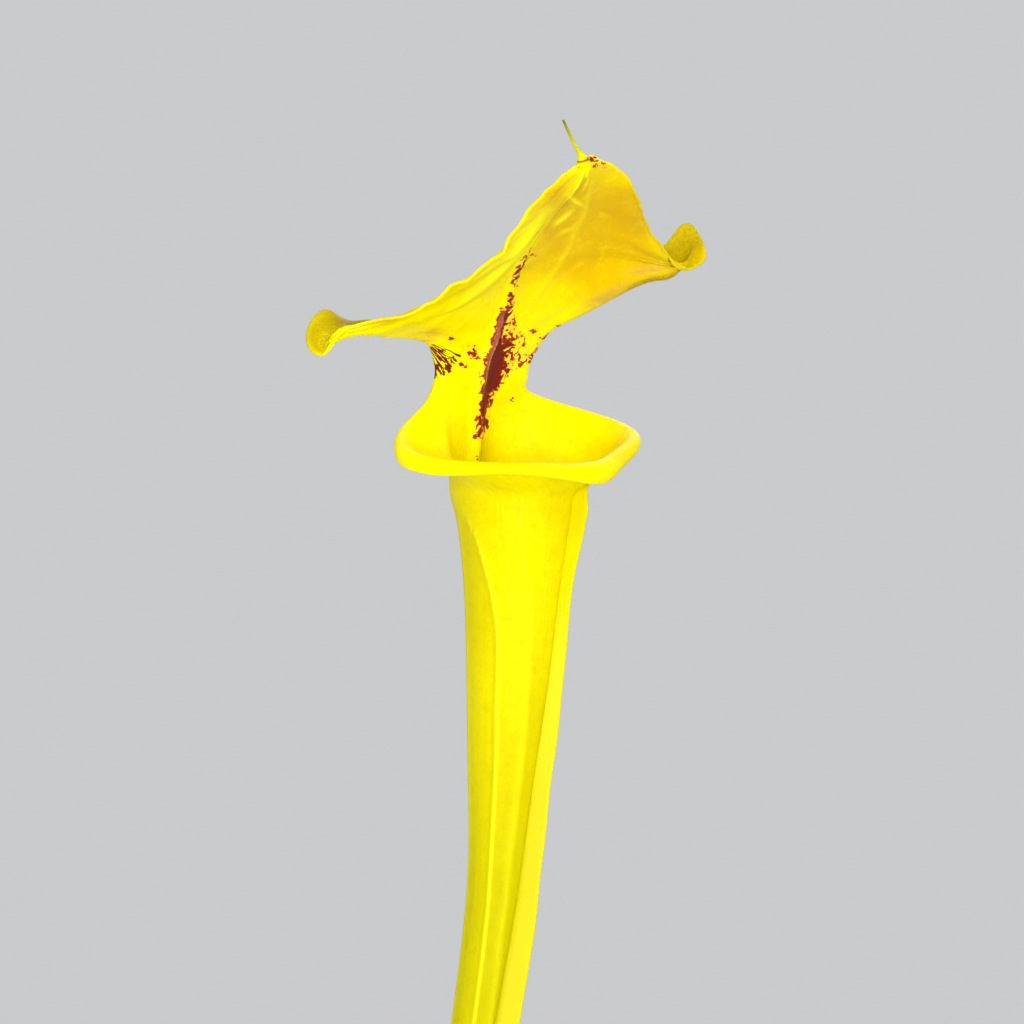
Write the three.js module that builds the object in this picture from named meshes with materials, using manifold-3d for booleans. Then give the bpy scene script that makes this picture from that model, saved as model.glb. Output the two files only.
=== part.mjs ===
// A potted yellow pitcher plant. Millimetres, +Z up, origin at the middle of the pot's underside.
// The pitcher is one thin sheet: a tapering tube, a flared mouth with a rolled lip, a narrow neck and
// a two-lobed lid.
import * as THREE from "three";
import Module from "manifold-3d";

const wasm = await Module();
wasm.setup();

// Driving dimensions.
const GAP = 0.3; // clearance between neighbouring pieces
const POT = { rBase: 49, rTop: 65, height: 118, wall: 2.4, floor: 3, rimR: 69, rimH: 11 };
const HOLES = { count: 6, r: 4.5, ring: 31 }; // drainage holes in the pot's floor
const SOIL = { level: 104, relief: 2.2, sides: 30 };
const LEAF_WALL = 1.0; // thickness of the pitcher's sheet
const FRONT = [0.616, -0.788]; // the way the mouth faces, in plan
const SIDE = [0.788, 0.616]; // to the mouth's right-hand side, in plan
const MOUTH_X = 13.8; // the mouth's middle, on the X axis
const HOLLOW_FROM = 300; // the tube is hollow above this height

// Tube rings from the crown up to the throat: height, middle x, middle y, radius.
const TUBE = [
  [97.5, -19, 0, 5.6], [112, -19, 0, 6.2], [128, -18.8, 0.2, 5.6], [165, -16.8, 1.2, 5.3],
  [215, -12.6, 2.6, 5.6], [270, -6.6, 3.4, 6.2], [318, -0.2, 3.2, 6.9], [366.3, 7.1, 2.3, 8.3],
  [400, 9.9, 1.4, 10.4], [432.3, 12.3, 0.6, 13.3], [460, 13.7, 0.1, 15.5], [481.2, 14.3, 0, 18.4],
];
const THROAT = { r: 20.2, zFront: 488.8, zBack: 490.8 };

// Mouth rim from the left corner round the front to the right corner. Crest: forward, sideways, height.
// Then how far the roll goes outwards and down at its middle and at its end.
const RIM = [
  [-9, -31.8, 509, 3.1, 1.6, 2.5, 5],
  [1, -41, 502.2, 3.2, 1.4, 2.4, 4.4],
  [14, -37, 498.2, 4, 0.8, 3.2, 3.5],
  [25, -25.5, 497.1, 4.2, 0.5, 3.7, 1.9],
  [32.5, -11, 496.9, 4.4, 0.8, 3.9, 3.1],
  [35, 2.2, 497.8, 4, 2.2, 2.8, 5.4],
  [29, 15, 501.4, 3.2, 1, 2, 3.8],
  [19, 27.4, 506.5, 3.2, 0.5, 2.2, 3.8],
  [-1, 28.7, 512.3, 3, 0.8, 2.4, 4.5],
];

// Neck and lid, section by section from the mouth to the tip.
// Each: midrib, then on the left and on the right the fold, the outermost point and the margin.
const LID = [
  { mid: [4.1, 12.4, 517.5], left: [[-10.2, -2.4, 516], [-13.1, -2.6, 515.6], [-13, 0.6, 514.6]],
    right: [[17.9, 20.3, 518.4], [18.8, 23, 518], [15.7, 23.7, 517.2]] },
  { mid: [5.7, 10.5, 525.3], left: [[-6.7, 0.2, 524.4], [-9.6, 0, 524.4], [-9.5, 3.1, 524.4]],
    right: [[15.3, 18.8, 523.5], [16.2, 21.5, 523.5], [13.1, 22.2, 523.5]] },
  { mid: [7, 9, 531.9], left: [[-7.3, -0.8, 530.5], [-10.2, -1, 530.1], [-10.1, 2.3, 530.1]],
    right: [[15.8, 18.6, 529], [17.1, 22, 528], [15.4, 25.4, 529.5]] },
  { mid: [8.1, 7.5, 536.7], left: [[-10.7, -7, 536.7], [-12.5, -4, 534.5], [-12.1, 4, 535.9]],
    right: [[18.4, 18.5, 536.6], [19.9, 22.5, 534.3], [21.2, 30, 536.8]] },
  { mid: [9, 6, 540.8], left: [[-16.2, -13, 537.6], [-17.8, -9, 536], [-17.4, -2, 537.2]],
    right: [[22.3, 19, 540.9], [23.6, 23, 538.9], [25.2, 31.5, 541.8]] },
  { mid: [10, 4, 544.5], left: [[-20.6, -19.5, 537.9], [-21.9, -14.5, 536], [-21.7, -8, 538.5]],
    right: [[27.2, 19.5, 543.8], [28.5, 23.5, 541.8], [30.4, 33, 546.1]] },
  { mid: [11.1, 2, 547.7], left: [[-24.6, -25.5, 538.1], [-25.9, -20, 536.2], [-26, -14, 540.1]],
    right: [[33.9, 20, 547.3], [35.2, 24.5, 545], [36.5, 34.5, 549.6]] },
  { mid: [12.2, 0, 550.6], left: [[-28.3, -30.5, 538.3], [-29.6, -25, 536.7], [-30.3, -19, 540.6]],
    right: [[40.6, 20.5, 550.9], [41.9, 25.5, 548.6], [43.3, 35.5, 553.6]] },
  { mid: [13.2, -2, 553.4], left: [[-32, -34, 538.2], [-33.3, -29, 536.8], [-34.7, -23, 540.2]],
    right: [[47.9, 22, 554.8], [48.6, 27, 552.2], [50.7, 36.5, 559.2]] },
  { mid: [14.2, -4.2, 555.7], left: [[-35.1, -36.5, 537], [-36.7, -33, 535.3], [-38.7, -26, 541.7]],
    right: [[55, 25, 557.9], [55.7, 29.5, 555.1], [59, 37.5, 565.1]] },
  { mid: [15.3, -6.5, 557.8], left: [[-37.7, -37.5, 535.7], [-39.8, -35.5, 533.3], [-42.4, -28.5, 543.2]],
    right: [[60.6, 28, 559.6], [62.6, 33, 557.5], [65.9, 39.5, 572.4]] },
  { mid: [16.5, -8.5, 560], left: [[-38.9, -38, 533.6], [-42.7, -36, 534.5], [-46.7, -32, 539.1]],
    right: [[62.8, 29, 558.7], [67.9, 35, 564], [70.8, 38.5, 567.9]] },
  { mid: [17.7, -10.5, 561.9], left: [[-39.1, -39, 533.4], [-43, -38, 532.1], [-47.1, -36, 532.5]],
    right: [[63.1, 29, 558.7], [67.8, 33.5, 560.3], [72.1, 36.5, 562]] },
  { mid: [19, -13, 564.2], left: [[-38.8, -40, 533.5], [-41.1, -40, 531.5], [-43.5, -39, 529.6]],
    right: [[63, 28.5, 558.8], [65.9, 31, 558.6], [68.4, 33.5, 558.4]] },
  { mid: [20.6, -15.5, 566.7], left: [[-36.7, -40, 535], [-38.2, -41, 534.1], [-39.9, -41.5, 533.2]],
    right: [[61.4, 26.5, 559.9], [62.4, 27.5, 559.4], [63.7, 28.5, 558.6]] },
  { mid: [22.4, -18.5, 569.2], left: [[-27.7, -40, 539], [-29.4, -41.5, 539], [-31.1, -43, 539.1]],
    right: [[56.3, 19, 563.2], [57.6, 20.5, 563.3], [58.9, 22, 563.4]] },
  { mid: [24.4, -22, 571.8], left: [[-13.4, -39.5, 544.1], [-15.1, -41.5, 543.3], [-16.8, -43.5, 542.5]],
    right: [[52.2, 11, 568.1], [53.3, 12, 568.3], [54.4, 13, 568.6]] },
  { mid: [26.8, -25.5, 574.3], left: [[0.9, -39.5, 553.2], [-0.2, -42, 552.5], [-1.4, -44.5, 551.8]],
    right: [[49.1, -3, 574.3], [50.2, -2.5, 574.6], [51.2, -2, 575]] },
  { mid: [29.4, -29.5, 576.7], left: [[12.6, -40, 563.6], [11.4, -42.5, 562.8], [10.3, -45.5, 561.9]],
    right: [[45.7, -16, 581.3], [46.7, -16, 581.7], [47.7, -16, 582.1]] },
  { mid: [32, -33.5, 579.5], left: [[21, -40.5, 574], [19.9, -42.5, 574.2], [18.7, -44.5, 574.3]],
    right: [[39.6, -27, 585.8], [40.5, -27, 586.3], [41.4, -27, 586.7]] },
  { mid: [33.7, -36.5, 583.4], left: [[31.9, -38.5, 584.2], [31.3, -38.8, 584.4], [30.7, -39, 584.7]],
    right: [[34.9, -34, 587.4], [35.2, -34, 587.8], [35.5, -34, 588.1]] },
];
// How far the lid bows outwards halfway between midrib and fold, one value for each section.
const BOW_LEFT = [
  0, -0.3, -0.3, -0.8, -1.2, -1.6, -2, -2.6, -3.4, -4.2, -4.8,
  -5.2, -5.4, -5.4, -5.4, -5, -3.4, -1.2, 0.6, 0.6, 0.2,
];
const BOW_RIGHT = [
  0, -0.3, -0.3, -0.6, -0.6, 0, 1, 2, 2.8, 3.2, 3.5, 3.6, 3.6, 3.6, 3.6, 3.6, 3.4, 3, 2.4, 1.4, 0.4,
];

// Wing down the tube's front: height, then how far it stands out of the tube.
const WING = [
  [113, 3.4], [150, 6.2], [215, 7.6], [270, 8], [318, 7.9], [344, 7.6], [366, 7], [391, 6.4],
  [413, 5.4], [432, 4.5], [450, 4], [466, 4.3], [476, 5], [484, 5.5], [489, 4.2], [492, 1.2],
];
const WING_TURN = 22; // degrees from the mouth's front towards its right-hand side
const WING_ROOT = 0.9; // half its thickness where it leaves the tube
const WING_EDGE = 0.45; // half its thickness at its edge

// Beak and bristle at the lid's tip: point and radius.
const BRISTLE = [
  [[34.2, -35.6, 582.6], 1.7], [[34, -35.8, 584.8], 1.8], [[33.4, -35.9, 586.6], 1.4],
  [[32.6, -35.9, 588], 0.9], [[31.5, -35.6, 590.2], 0.55], [[30.2, -35.2, 592.8], 0.46],
  [[28.9, -34.8, 595.6], 0.4], [[27.6, -34.4, 598.5], 0.34],
];

// Flat sword-shaped leaves. Turn is the direction each leans in, from +X towards +Y, and lean is how far
// its tip has tipped over, both in degrees. Half is half its greatest width.
const SWORDS = [
  { name: "sword_leaf_left", foot: [-33, -1], turn: 190, length: 150, half: 9.5, lean: 62 },
  { name: "sword_leaf_back", foot: [-19, 14], turn: 75, length: 185, half: 10.5, lean: 48 },
  { name: "sword_leaf_front", foot: [-9.5, -12], turn: -55, length: 125, half: 8.5, lean: 58 },
];
const SWORD_THICK = 1.7; // at the midrib
const SWORD_EDGE = 0.8;
const YOUNG = { foot: [-5.8, 5.2], length: 178, lean: 16, turn: 20, rFoot: 3.1, rTop: 6.2 };
const FOOT_Z = 97.5; // leaves stand this deep in the soil

// Creeping stem: point and radius, with its growing end among the leaves.
const STEM = [
  [[-22, -10.5, 98.2], 4.2], [[-24, -14.5, 99.6], 7], [[-27, -21, 99.4], 7.8], [[-30.5, -28.5, 98.6], 7.2],
  [[-33.6, -36, 97.4], 6.2], [[-35.6, -41.5, 96.4], 3.6],
];
// Its bud scales: root, tip and radius.
const BUD_SCALES = [
  [[-21.8, -9.6, 98], [-21.6, -8.6, 103.4], 2.6],
  [[-26.5, -12, 99], [-28.6, -10.9, 106.6], 2.4],
  [[-21, -16, 99], [-18.8, -17, 106.4], 2.3],
  [[-27, -21, 101], [-27.4, -20.4, 109], 2.6],
  [[-31, -29, 100], [-31.6, -28.6, 107.2], 2.2],
];

// Vectors and solids.
const add = (a, b) => a.map((v, i) => v + b[i]);
const sub = (a, b) => a.map((v, i) => v - b[i]);
const mul = (a, s) => a.map((v) => v * s);
const mix = (a, b, t) => a.map((v, i) => v + (b[i] - v) * t);
const cross = ([ax, ay, az], [bx, by, bz]) => [ay * bz - az * by, az * bx - ax * bz, ax * by - ay * bx];
const unit = (a) => mul(a, 1 / (Math.hypot(...a) || 1));
const planPoint = (forward, sideways, z, x = MOUTH_X, y = 0) => [
  x + forward * FRONT[0] + sideways * SIDE[0],
  y + forward * FRONT[1] + sideways * SIDE[1],
  z,
];

function solid(points, triangles) {
  const vertProperties = new Float32Array(points.flat());
  const triVerts = new Uint32Array(triangles.flat());
  return new wasm.Manifold(new wasm.Mesh({ numProp: 3, vertProperties, triVerts }));
}

// A solid through a row of rings with the same number of points each, closed at both ends.
// The points go round counterclockwise seen against the way the row runs.
function loft(rings) {
  const n = rings[0].length;
  const points = rings.flat();
  const triangles = [];
  for (let r = 0; r + 1 < rings.length; r++) {
    for (let j = 0; j < n; j++) {
      const [a, b] = [r * n + j, r * n + ((j + 1) % n)];
      triangles.push([a, b, b + n], [a, b + n, a + n]);
    }
  }
  const centre = (ring) => mul(ring.reduce(add), 1 / n);
  const [first, last] = [points.length, points.length + 1];
  points.push(centre(rings[0]), centre(rings.at(-1)));
  const top = (rings.length - 1) * n;
  for (let j = 0; j < n; j++) {
    triangles.push([first, (j + 1) % n, j], [last, top + j, top + ((j + 1) % n)]);
  }
  return solid(points, triangles);
}

// A round bar with a changing radius along a row of [point, radius].
function bar(stations, sides, swell = 0) {
  const rings = stations.map(([p, r], i) => {
    const before = stations[Math.max(i - 1, 0)][0];
    const after = stations[Math.min(i + 1, stations.length - 1)][0];
    const along = unit(sub(after, before));
    const across = unit(cross([0.31, -0.9, 0.3], along));
    const up = cross(along, across);
    return Array.from({ length: sides }, (_, j) => {
      const a = (2 * Math.PI * j) / sides;
      return add(p, add(mul(across, (r + swell) * Math.cos(a)), mul(up, (r + swell) * Math.sin(a))));
    });
  });
  return loft(rings);
}

function between(rows, z, column) {
  const i = rows.findIndex((row) => row[0] > z);
  if (i < 0) return rows.at(-1)[column];
  if (i === 0) return rows[0][column];
  const t = (z - rows[i - 1][0]) / (rows[i][0] - rows[i - 1][0]);
  return rows[i - 1][column] + t * (rows[i][column] - rows[i - 1][column]);
}

// A smooth sheet from a cage of quads.
const edgeKey = (a, b) => (a < b ? `${a} ${b}` : `${b} ${a}`);

function neighbourhood({ points, quads }) {
  const around = points.map(() => ({ edges: new Map(), diagonals: [] }));
  const edges = new Map();
  quads.forEach((q, f) => {
    q.forEach((a, i) => {
      const b = q[(i + 1) % 4];
      const key = edgeKey(a, b);
      if (!edges.has(key)) edges.set(key, { a, b, faces: [] });
      edges.get(key).faces.push(f);
      around[a].diagonals.push(q[(i + 2) % 4]);
      for (const [p, r] of [[a, b], [b, a]]) {
        around[p].edges.set(r, (around[p].edges.get(r) || 0) + 1);
      }
    });
  });
  return { around, edges };
}

// Where each cage point ends up on the smooth surface.
function settled(cage) {
  const { around } = neighbourhood(cage);
  return cage.points.map((p, i) => {
    const rim = [...around[i].edges].filter(([, count]) => count === 1).map(([j]) => cage.points[j]);
    if (rim.length) return mul(add(add(mul(p, 4), rim[0]), rim[1]), 1 / 6);
    const near = [...around[i].edges.keys()].map((j) => cage.points[j]);
    const far = around[i].diagonals.map((j) => cage.points[j]);
    const n = near.length;
    const total = add(add(mul(p, n * n), mul(near.reduce(add), 4)), far.reduce(add));
    return mul(total, 1 / (n * (n + 5)));
  });
}

// Moves the cage until its smooth surface runs through the points it was given.
function fitted(cage) {
  const targets = cage.points;
  let points = targets;
  for (let round = 0; round < 30; round++) {
    const now = settled({ points, quads: cage.quads });
    points = points.map((p, i) => add(p, sub(targets[i], now[i])));
  }
  return { points, quads: cage.quads };
}

// One round of Catmull-Clark subdivision.
function subdivided(cage) {
  const { points, quads } = cage;
  const { around, edges } = neighbourhood(cage);
  const faceMid = quads.map((q) => mul(q.map((i) => points[i]).reduce(add), 0.25));
  const out = points.map((p, i) => {
    const rim = [...around[i].edges].filter(([, count]) => count === 1).map(([j]) => points[j]);
    if (rim.length) return mul(add(add(mul(p, 6), rim[0]), rim[1]), 1 / 8);
    const near = [...around[i].edges.keys()].map((j) => points[j]);
    const n = near.length;
    const mids = near.map((q) => mul(add(p, q), 0.5));
    return { p, n, mids };
  });
  const faceSum = points.map(() => [0, 0, 0]);
  quads.forEach((q, f) => q.forEach((i) => (faceSum[i] = add(faceSum[i], faceMid[f]))));
  const next = out.map((o, i) => {
    if (Array.isArray(o)) return o;
    const { p, n, mids } = o;
    const faces = mul(faceSum[i], 1 / n);
    const sides = mul(mids.reduce(add), 1 / n);
    return mul(add(add(faces, mul(sides, 2)), mul(p, n - 3)), 1 / n);
  });
  const edgeIndex = new Map();
  for (const [key, { a, b, faces }] of edges) {
    edgeIndex.set(key, next.length);
    const ends = add(points[a], points[b]);
    const inside = () => mul(add(ends, add(faceMid[faces[0]], faceMid[faces[1]])), 0.25);
    next.push(faces.length === 1 ? mul(ends, 0.5) : inside());
  }
  const newQuads = [];
  quads.forEach((q, f) => {
    const middle = next.length;
    next.push(faceMid[f]);
    q.forEach((a, i) => {
      const [b, d] = [q[(i + 1) % 4], q[(i + 3) % 4]];
      newQuads.push([a, edgeIndex.get(edgeKey(a, b)), middle, edgeIndex.get(edgeKey(a, d))]);
    });
  });
  return { points: next, quads: newQuads };
}

// The pitcher.
const COLUMNS = 18; // round the tube, column 0 at the back under the midrib
const LEFT_FOLD = 4;
const RIGHT_FOLD = 14;
const ringAngle = (j) => ((-180 + (360 * j) / COLUMNS) * Math.PI) / 180;

function tubeRing(z, x, y, r) {
  return Array.from({ length: COLUMNS }, (_, j) => {
    const a = ringAngle(j);
    return planPoint(r * Math.cos(a), r * Math.sin(a), z, x, y);
  });
}

// From the right margin over the midrib to the left margin: 13 points.
function lidSection({ mid, left, right }, k) {
  const outward = k < 3 ? [-FRONT[0], -FRONT[1], 0] : unit([-0.42, 0.5, 0.75]);
  const half = ([fold, outermost, margin], bow) => {
    const blade = [0.25, 0.5, 0.75].map((t) => add(mix(mid, fold, t), mul(outward, bow * 4 * t * (1 - t))));
    return [...blade, fold, outermost, margin];
  };
  return [...half(right, BOW_RIGHT[k]).reverse(), mid, ...half(left, BOW_LEFT[k])];
}

function pitcherCage() {
  const sections = LID.map(lidSection);
  const [midAt, leftFoldAt, rightFoldAt] = [6, 10, 2];
  const crest = RIM.map(([forward, sideways, z]) => planPoint(forward, sideways, z));
  const roll = (outIndex) =>
    RIM.map((rim) => {
      const [forward, sideways, z] = rim;
      const reach = Math.hypot(forward, sideways);
      const grow = 1 + rim[outIndex] / reach;
      return planPoint(forward * grow, sideways * grow, z - rim[outIndex + 1]);
    });
  const points = [];
  const put = (list) => list.map((p) => points.push(p) - 1);
  const quads = [];
  const strip = (low, high) => {
    for (let i = 0; i + 1 < low.length; i++) quads.push([low[i], low[i + 1], high[i + 1], high[i]]);
  };
  const lidRows = sections.map(put);
  const crestRow = put(crest);
  const rollRow = put(roll(3));
  const marginRow = put(roll(5));
  const first = lidRows[0];
  // The loop that closes the mouth: the neck's first section at the back, the crest of the lip in front.
  const loop = [...first.slice(midAt, leftFoldAt + 1), ...crestRow, ...first.slice(rightFoldAt, midAt)];
  const throat = tubeRing(0, 14, 0, THROAT.r).map((p, j) => {
    const back = (1 - Math.cos(ringAngle(j))) / 2;
    return [p[0], p[1], THROAT.zFront + (THROAT.zBack - THROAT.zFront) * back];
  });
  const flare = throat.map((p, j) => mix(p, points[loop[j]], 0.5));
  const rings = [...TUBE.map((ring) => put(tubeRing(...ring))), put(throat), put(flare), loop];
  for (let r = 0; r + 1 < rings.length; r++) {
    const [low, high] = [rings[r], rings[r + 1]];
    strip([...low, low[0]], [...high, high[0]]);
  }
  const rolled = [first[leftFoldAt + 1], ...rollRow, first[rightFoldAt - 1]];
  strip([loop[LEFT_FOLD], ...crestRow, loop[RIGHT_FOLD]], rolled);
  strip(rolled, [first[leftFoldAt + 2], ...marginRow, first[rightFoldAt - 2]]);
  for (let k = 0; k + 1 < lidRows.length; k++) strip(lidRows[k], lidRows[k + 1]);
  return { points, quads };
}

function normalsOf({ quads }, points) {
  const normals = points.map(() => [0, 0, 0]);
  for (const q of quads) {
    const n = cross(sub(points[q[2]], points[q[0]]), sub(points[q[3]], points[q[1]]));
    for (const i of q) normals[i] = add(normals[i], n);
  }
  return normals.map(unit);
}

// Gives the sheet its thickness, closes the margin, the base and the floor of the hollow.
function thickened(mesh) {
  const outer = settled(mesh);
  const normals = normalsOf(mesh, outer);
  const count = outer.length;
  const points = [...outer, ...outer.map((p, i) => sub(p, mul(normals[i], LEAF_WALL)))];
  const triangles = [];
  const directed = new Map();
  const walled = (q) => Math.min(...q.map((i) => outer[i][2])) > HOLLOW_FROM;
  for (const q of mesh.quads) {
    const [a, b, c, d] = q;
    triangles.push([a, b, c], [a, c, d]);
    if (walled(q)) triangles.push([a + count, c + count, b + count], [a + count, d + count, c + count]);
    q.forEach((p, i) => directed.set(`${p} ${q[(i + 1) % 4]}`, walled(q)));
  }
  const floorEdges = [];
  const baseEdges = [];
  for (const [key, isWall] of directed) {
    const [a, b] = key.split(" ").map(Number);
    const other = directed.get(`${b} ${a}`);
    if (other === undefined && isWall) triangles.push([b, a, b + count], [a, a + count, b + count]);
    if (other === undefined && !isWall) baseEdges.push([a, b]);
    if (isWall && other === false) floorEdges.push([b + count, a + count]);
  }
  const fan = (edges, drop) => {
    const ends = edges.map(([a]) => points[a]);
    const tip = mul(ends.reduce(add), 1 / ends.length);
    points.push([tip[0], tip[1], tip[2] - drop]);
    for (const [a, b] of edges) triangles.push([b, a, points.length - 1]);
  };
  fan(baseEdges, 0);
  fan(floorEdges, 6);
  return solid(points, compacted(points, triangles));
}

// Drops points that no triangle uses.
function compacted(points, triangles) {
  const used = new Map();
  const out = triangles.map((t) =>
    t.map((i) => {
      if (!used.has(i)) used.set(i, used.size);
      return used.get(i);
    }),
  );
  const kept = [...used.keys()].map((i) => points[i]);
  points.length = 0;
  points.push(...kept);
  return out;
}

// The narrow wing down the tube, its root sunk in the wall.
function wing() {
  const turn = (WING_TURN * Math.PI) / 180;
  const out = add(mul(FRONT, Math.cos(turn)), mul(SIDE, Math.sin(turn)));
  const across = [-out[1], out[0]];
  const wall = [...TUBE, [THROAT.zFront, 14, 0, THROAT.r], [WING.at(-1)[0], 14, 0, THROAT.r + 3]];
  const steps = 46;
  const [low, high] = [WING[0][0], WING.at(-1)[0]];
  const rings = Array.from({ length: steps + 1 }, (_, i) => {
    const z = low + ((high - low) * i) / steps;
    const [x, y, r] = [1, 2, 3].map((column) => between(wall, z, column));
    const wave = 0.5 * Math.sin(z / 13);
    const at = (reach, aside) => [...add([x, y], add(mul(out, reach), mul(across, aside))), z];
    const root = r - 0.7;
    const edge = r + between(WING, z, 1);
    return [at(root, -WING_ROOT), at(edge, wave - WING_EDGE), at(edge, wave + WING_EDGE), at(root, WING_ROOT)];
  });
  return loft(rings);
}

const pitcherSheet = thickened(subdivided(fitted(pitcherCage())));
const pitcher = pitcherSheet.add(wing()).add(bar(BRISTLE, 8));

// The other leaves.
// A flat leaf that stands up from its foot and bends over outwards, with a midrib on both faces.
function swordLeaf({ foot, turn, length, half, lean }) {
  const steps = 14;
  const a = (turn * Math.PI) / 180;
  const out = [Math.cos(a), Math.sin(a), 0];
  const across = [-Math.sin(a), Math.cos(a), 0];
  let p = [foot[0], foot[1], FOOT_Z];
  const rings = [];
  for (let i = 0; i <= steps; i++) {
    const t = i / steps;
    const tilt = ((Math.max(t - 0.06, 0) * lean) * Math.PI) / 180;
    const along = add(mul(out, Math.sin(tilt)), [0, 0, Math.cos(tilt)]);
    const face = cross(along, across);
    const widening = 0.36 + 0.64 * Math.sin(Math.PI * Math.min(0.5, t * 0.95));
    const narrowing = Math.sqrt(Math.max(1 - Math.max(t - 0.35, 0) / 0.66, 0.012));
    const wide = half * widening * narrowing;
    const thick = SWORD_THICK * (1.5 - 0.7 * t) * 0.5;
    const thin = SWORD_EDGE / 2;
    const cup = wide * 0.16;
    const at = (s, d) => add(p, add(mul(across, s), mul(face, d)));
    const face1 = [[wide, cup + thin], [wide * 0.5, cup * 0.4 + thin], [0, thick]];
    const face2 = [[wide, cup - thin], [wide * 0.5, cup * 0.4 - thin], [0, -thick]];
    const mirrored = (list) => list.slice(0, 2).reverse().map(([s, d]) => [-s, d]);
    const outline = [...face1, ...mirrored(face1), ...mirrored(face2).reverse(), ...face2.toReversed()];
    rings.push(outline.map(([s, d]) => at(s, d)));
    p = add(p, mul(along, length / steps));
  }
  return loft(rings);
}

// A young pitcher, still closed: a slim tube with a wing that ends in a flat folded bud.
function youngPitcher() {
  const { foot, length, lean, turn, rFoot, rTop } = YOUNG;
  const a = (turn * Math.PI) / 180;
  const out = [Math.cos(a), Math.sin(a), 0];
  const steps = 22;
  const sides = 16;
  let p = [foot[0], foot[1], FOOT_Z];
  const rings = [];
  for (let i = 0; i <= steps; i++) {
    const t = i / steps;
    const tilt = (Math.max(t - 0.08, 0) * lean * Math.PI) / 180;
    const along = add(mul(out, Math.sin(tilt)), [0, 0, Math.cos(tilt)]);
    const across = [-out[1], out[0], 0];
    const face = cross(across, along);
    const swell = rFoot + (rTop - rFoot) * Math.min(t / 0.78, 1) ** 2;
    const close = t > 0.78 ? Math.cos(((t - 0.78) / 0.22) * 1.42) : 1;
    const flat = t > 0.7 ? 1 - 0.55 * ((t - 0.7) / 0.3) : 1;
    rings.push(Array.from({ length: sides }, (_, j) => {
      const b = (2 * Math.PI * j) / sides;
      const ridge = j === 0 ? 1 + 0.45 * Math.sin(Math.PI * Math.min(t * 1.05, 1)) : 1;
      const reach = swell * close * ridge;
      return add(p, add(mul(face, reach * Math.cos(b)), mul(across, reach * flat * Math.sin(b))));
    }));
    p = add(p, mul(along, length / steps));
  }
  return loft(rings);
}

// The creeping stem, with a few bud scales.
function creepingStem(swell = 0) {
  let made = bar(STEM, 12, swell);
  for (const [root, tip, r] of BUD_SCALES) {
    const [middle, shoulder] = [mix(root, tip, 0.5), mix(root, tip, 0.85)];
    made = made.add(bar([[root, r], [middle, r * 0.95], [shoulder, r * 0.6], [tip, r * 0.25]], 8, swell));
  }
  return made;
}

// Pot and soil.
function lathe(outline, sides) {
  const geometry = new THREE.LatheGeometry(outline.map(([r, z]) => new THREE.Vector2(r, z)), sides);
  geometry.rotateX(Math.PI / 2);
  const at = geometry.getAttribute("position");
  const index = [];
  const seen = new Map();
  const points = [];
  for (let i = 0; i < at.count; i++) {
    const p = [at.getX(i), at.getY(i), at.getZ(i)].map((v) => Math.round(v * 1e4) / 1e4 + 0);
    const key = p.join(" ");
    if (!seen.has(key)) seen.set(key, points.push(p) - 1);
    index.push(seen.get(key));
  }
  const flat = geometry.index.array;
  const triangles = [];
  for (let i = 0; i < flat.length; i += 3) {
    const [a, b, c] = [index[flat[i]], index[flat[i + 1]], index[flat[i + 2]]];
    if (a !== b && b !== c && c !== a) triangles.push([a, b, c]);
  }
  return solid(points, triangles);
}

const column = (x, y, r, low, high, sides = 20) => bar([[[x, y, low], r], [[x, y, high], r]], sides);

const innerRadius = (z) => POT.rBase - POT.wall + ((POT.rTop - POT.rBase) * z) / POT.height;

function pot() {
  const { rBase, rTop, height, wall, floor, rimR, rimH } = POT;
  const outer = (z) => rBase + ((rTop - rBase) * z) / height;
  const underRim = height - rimH;
  const outside = [[0, 0], [rBase - 1, 0], [outer(1), 1], [outer(underRim), underRim]];
  const rim = [[rimR, underRim], [rimR, height - 0.8], [rimR - 0.8, height], [rTop - wall + 0.4, height]];
  const inside = [[rTop - wall, height - 0.8], [innerRadius(floor), floor], [0, floor]];
  let made = lathe([...outside, ...rim, ...inside], 56);
  for (let i = 0; i < HOLES.count; i++) {
    const a = (2 * Math.PI * (i + 0.5)) / HOLES.count;
    const [x, y] = [HOLES.ring * Math.cos(a), HOLES.ring * Math.sin(a)];
    made = made.subtract(column(x, y, HOLES.r, -1, floor + 1, 14));
  }
  return made;
}

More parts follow.
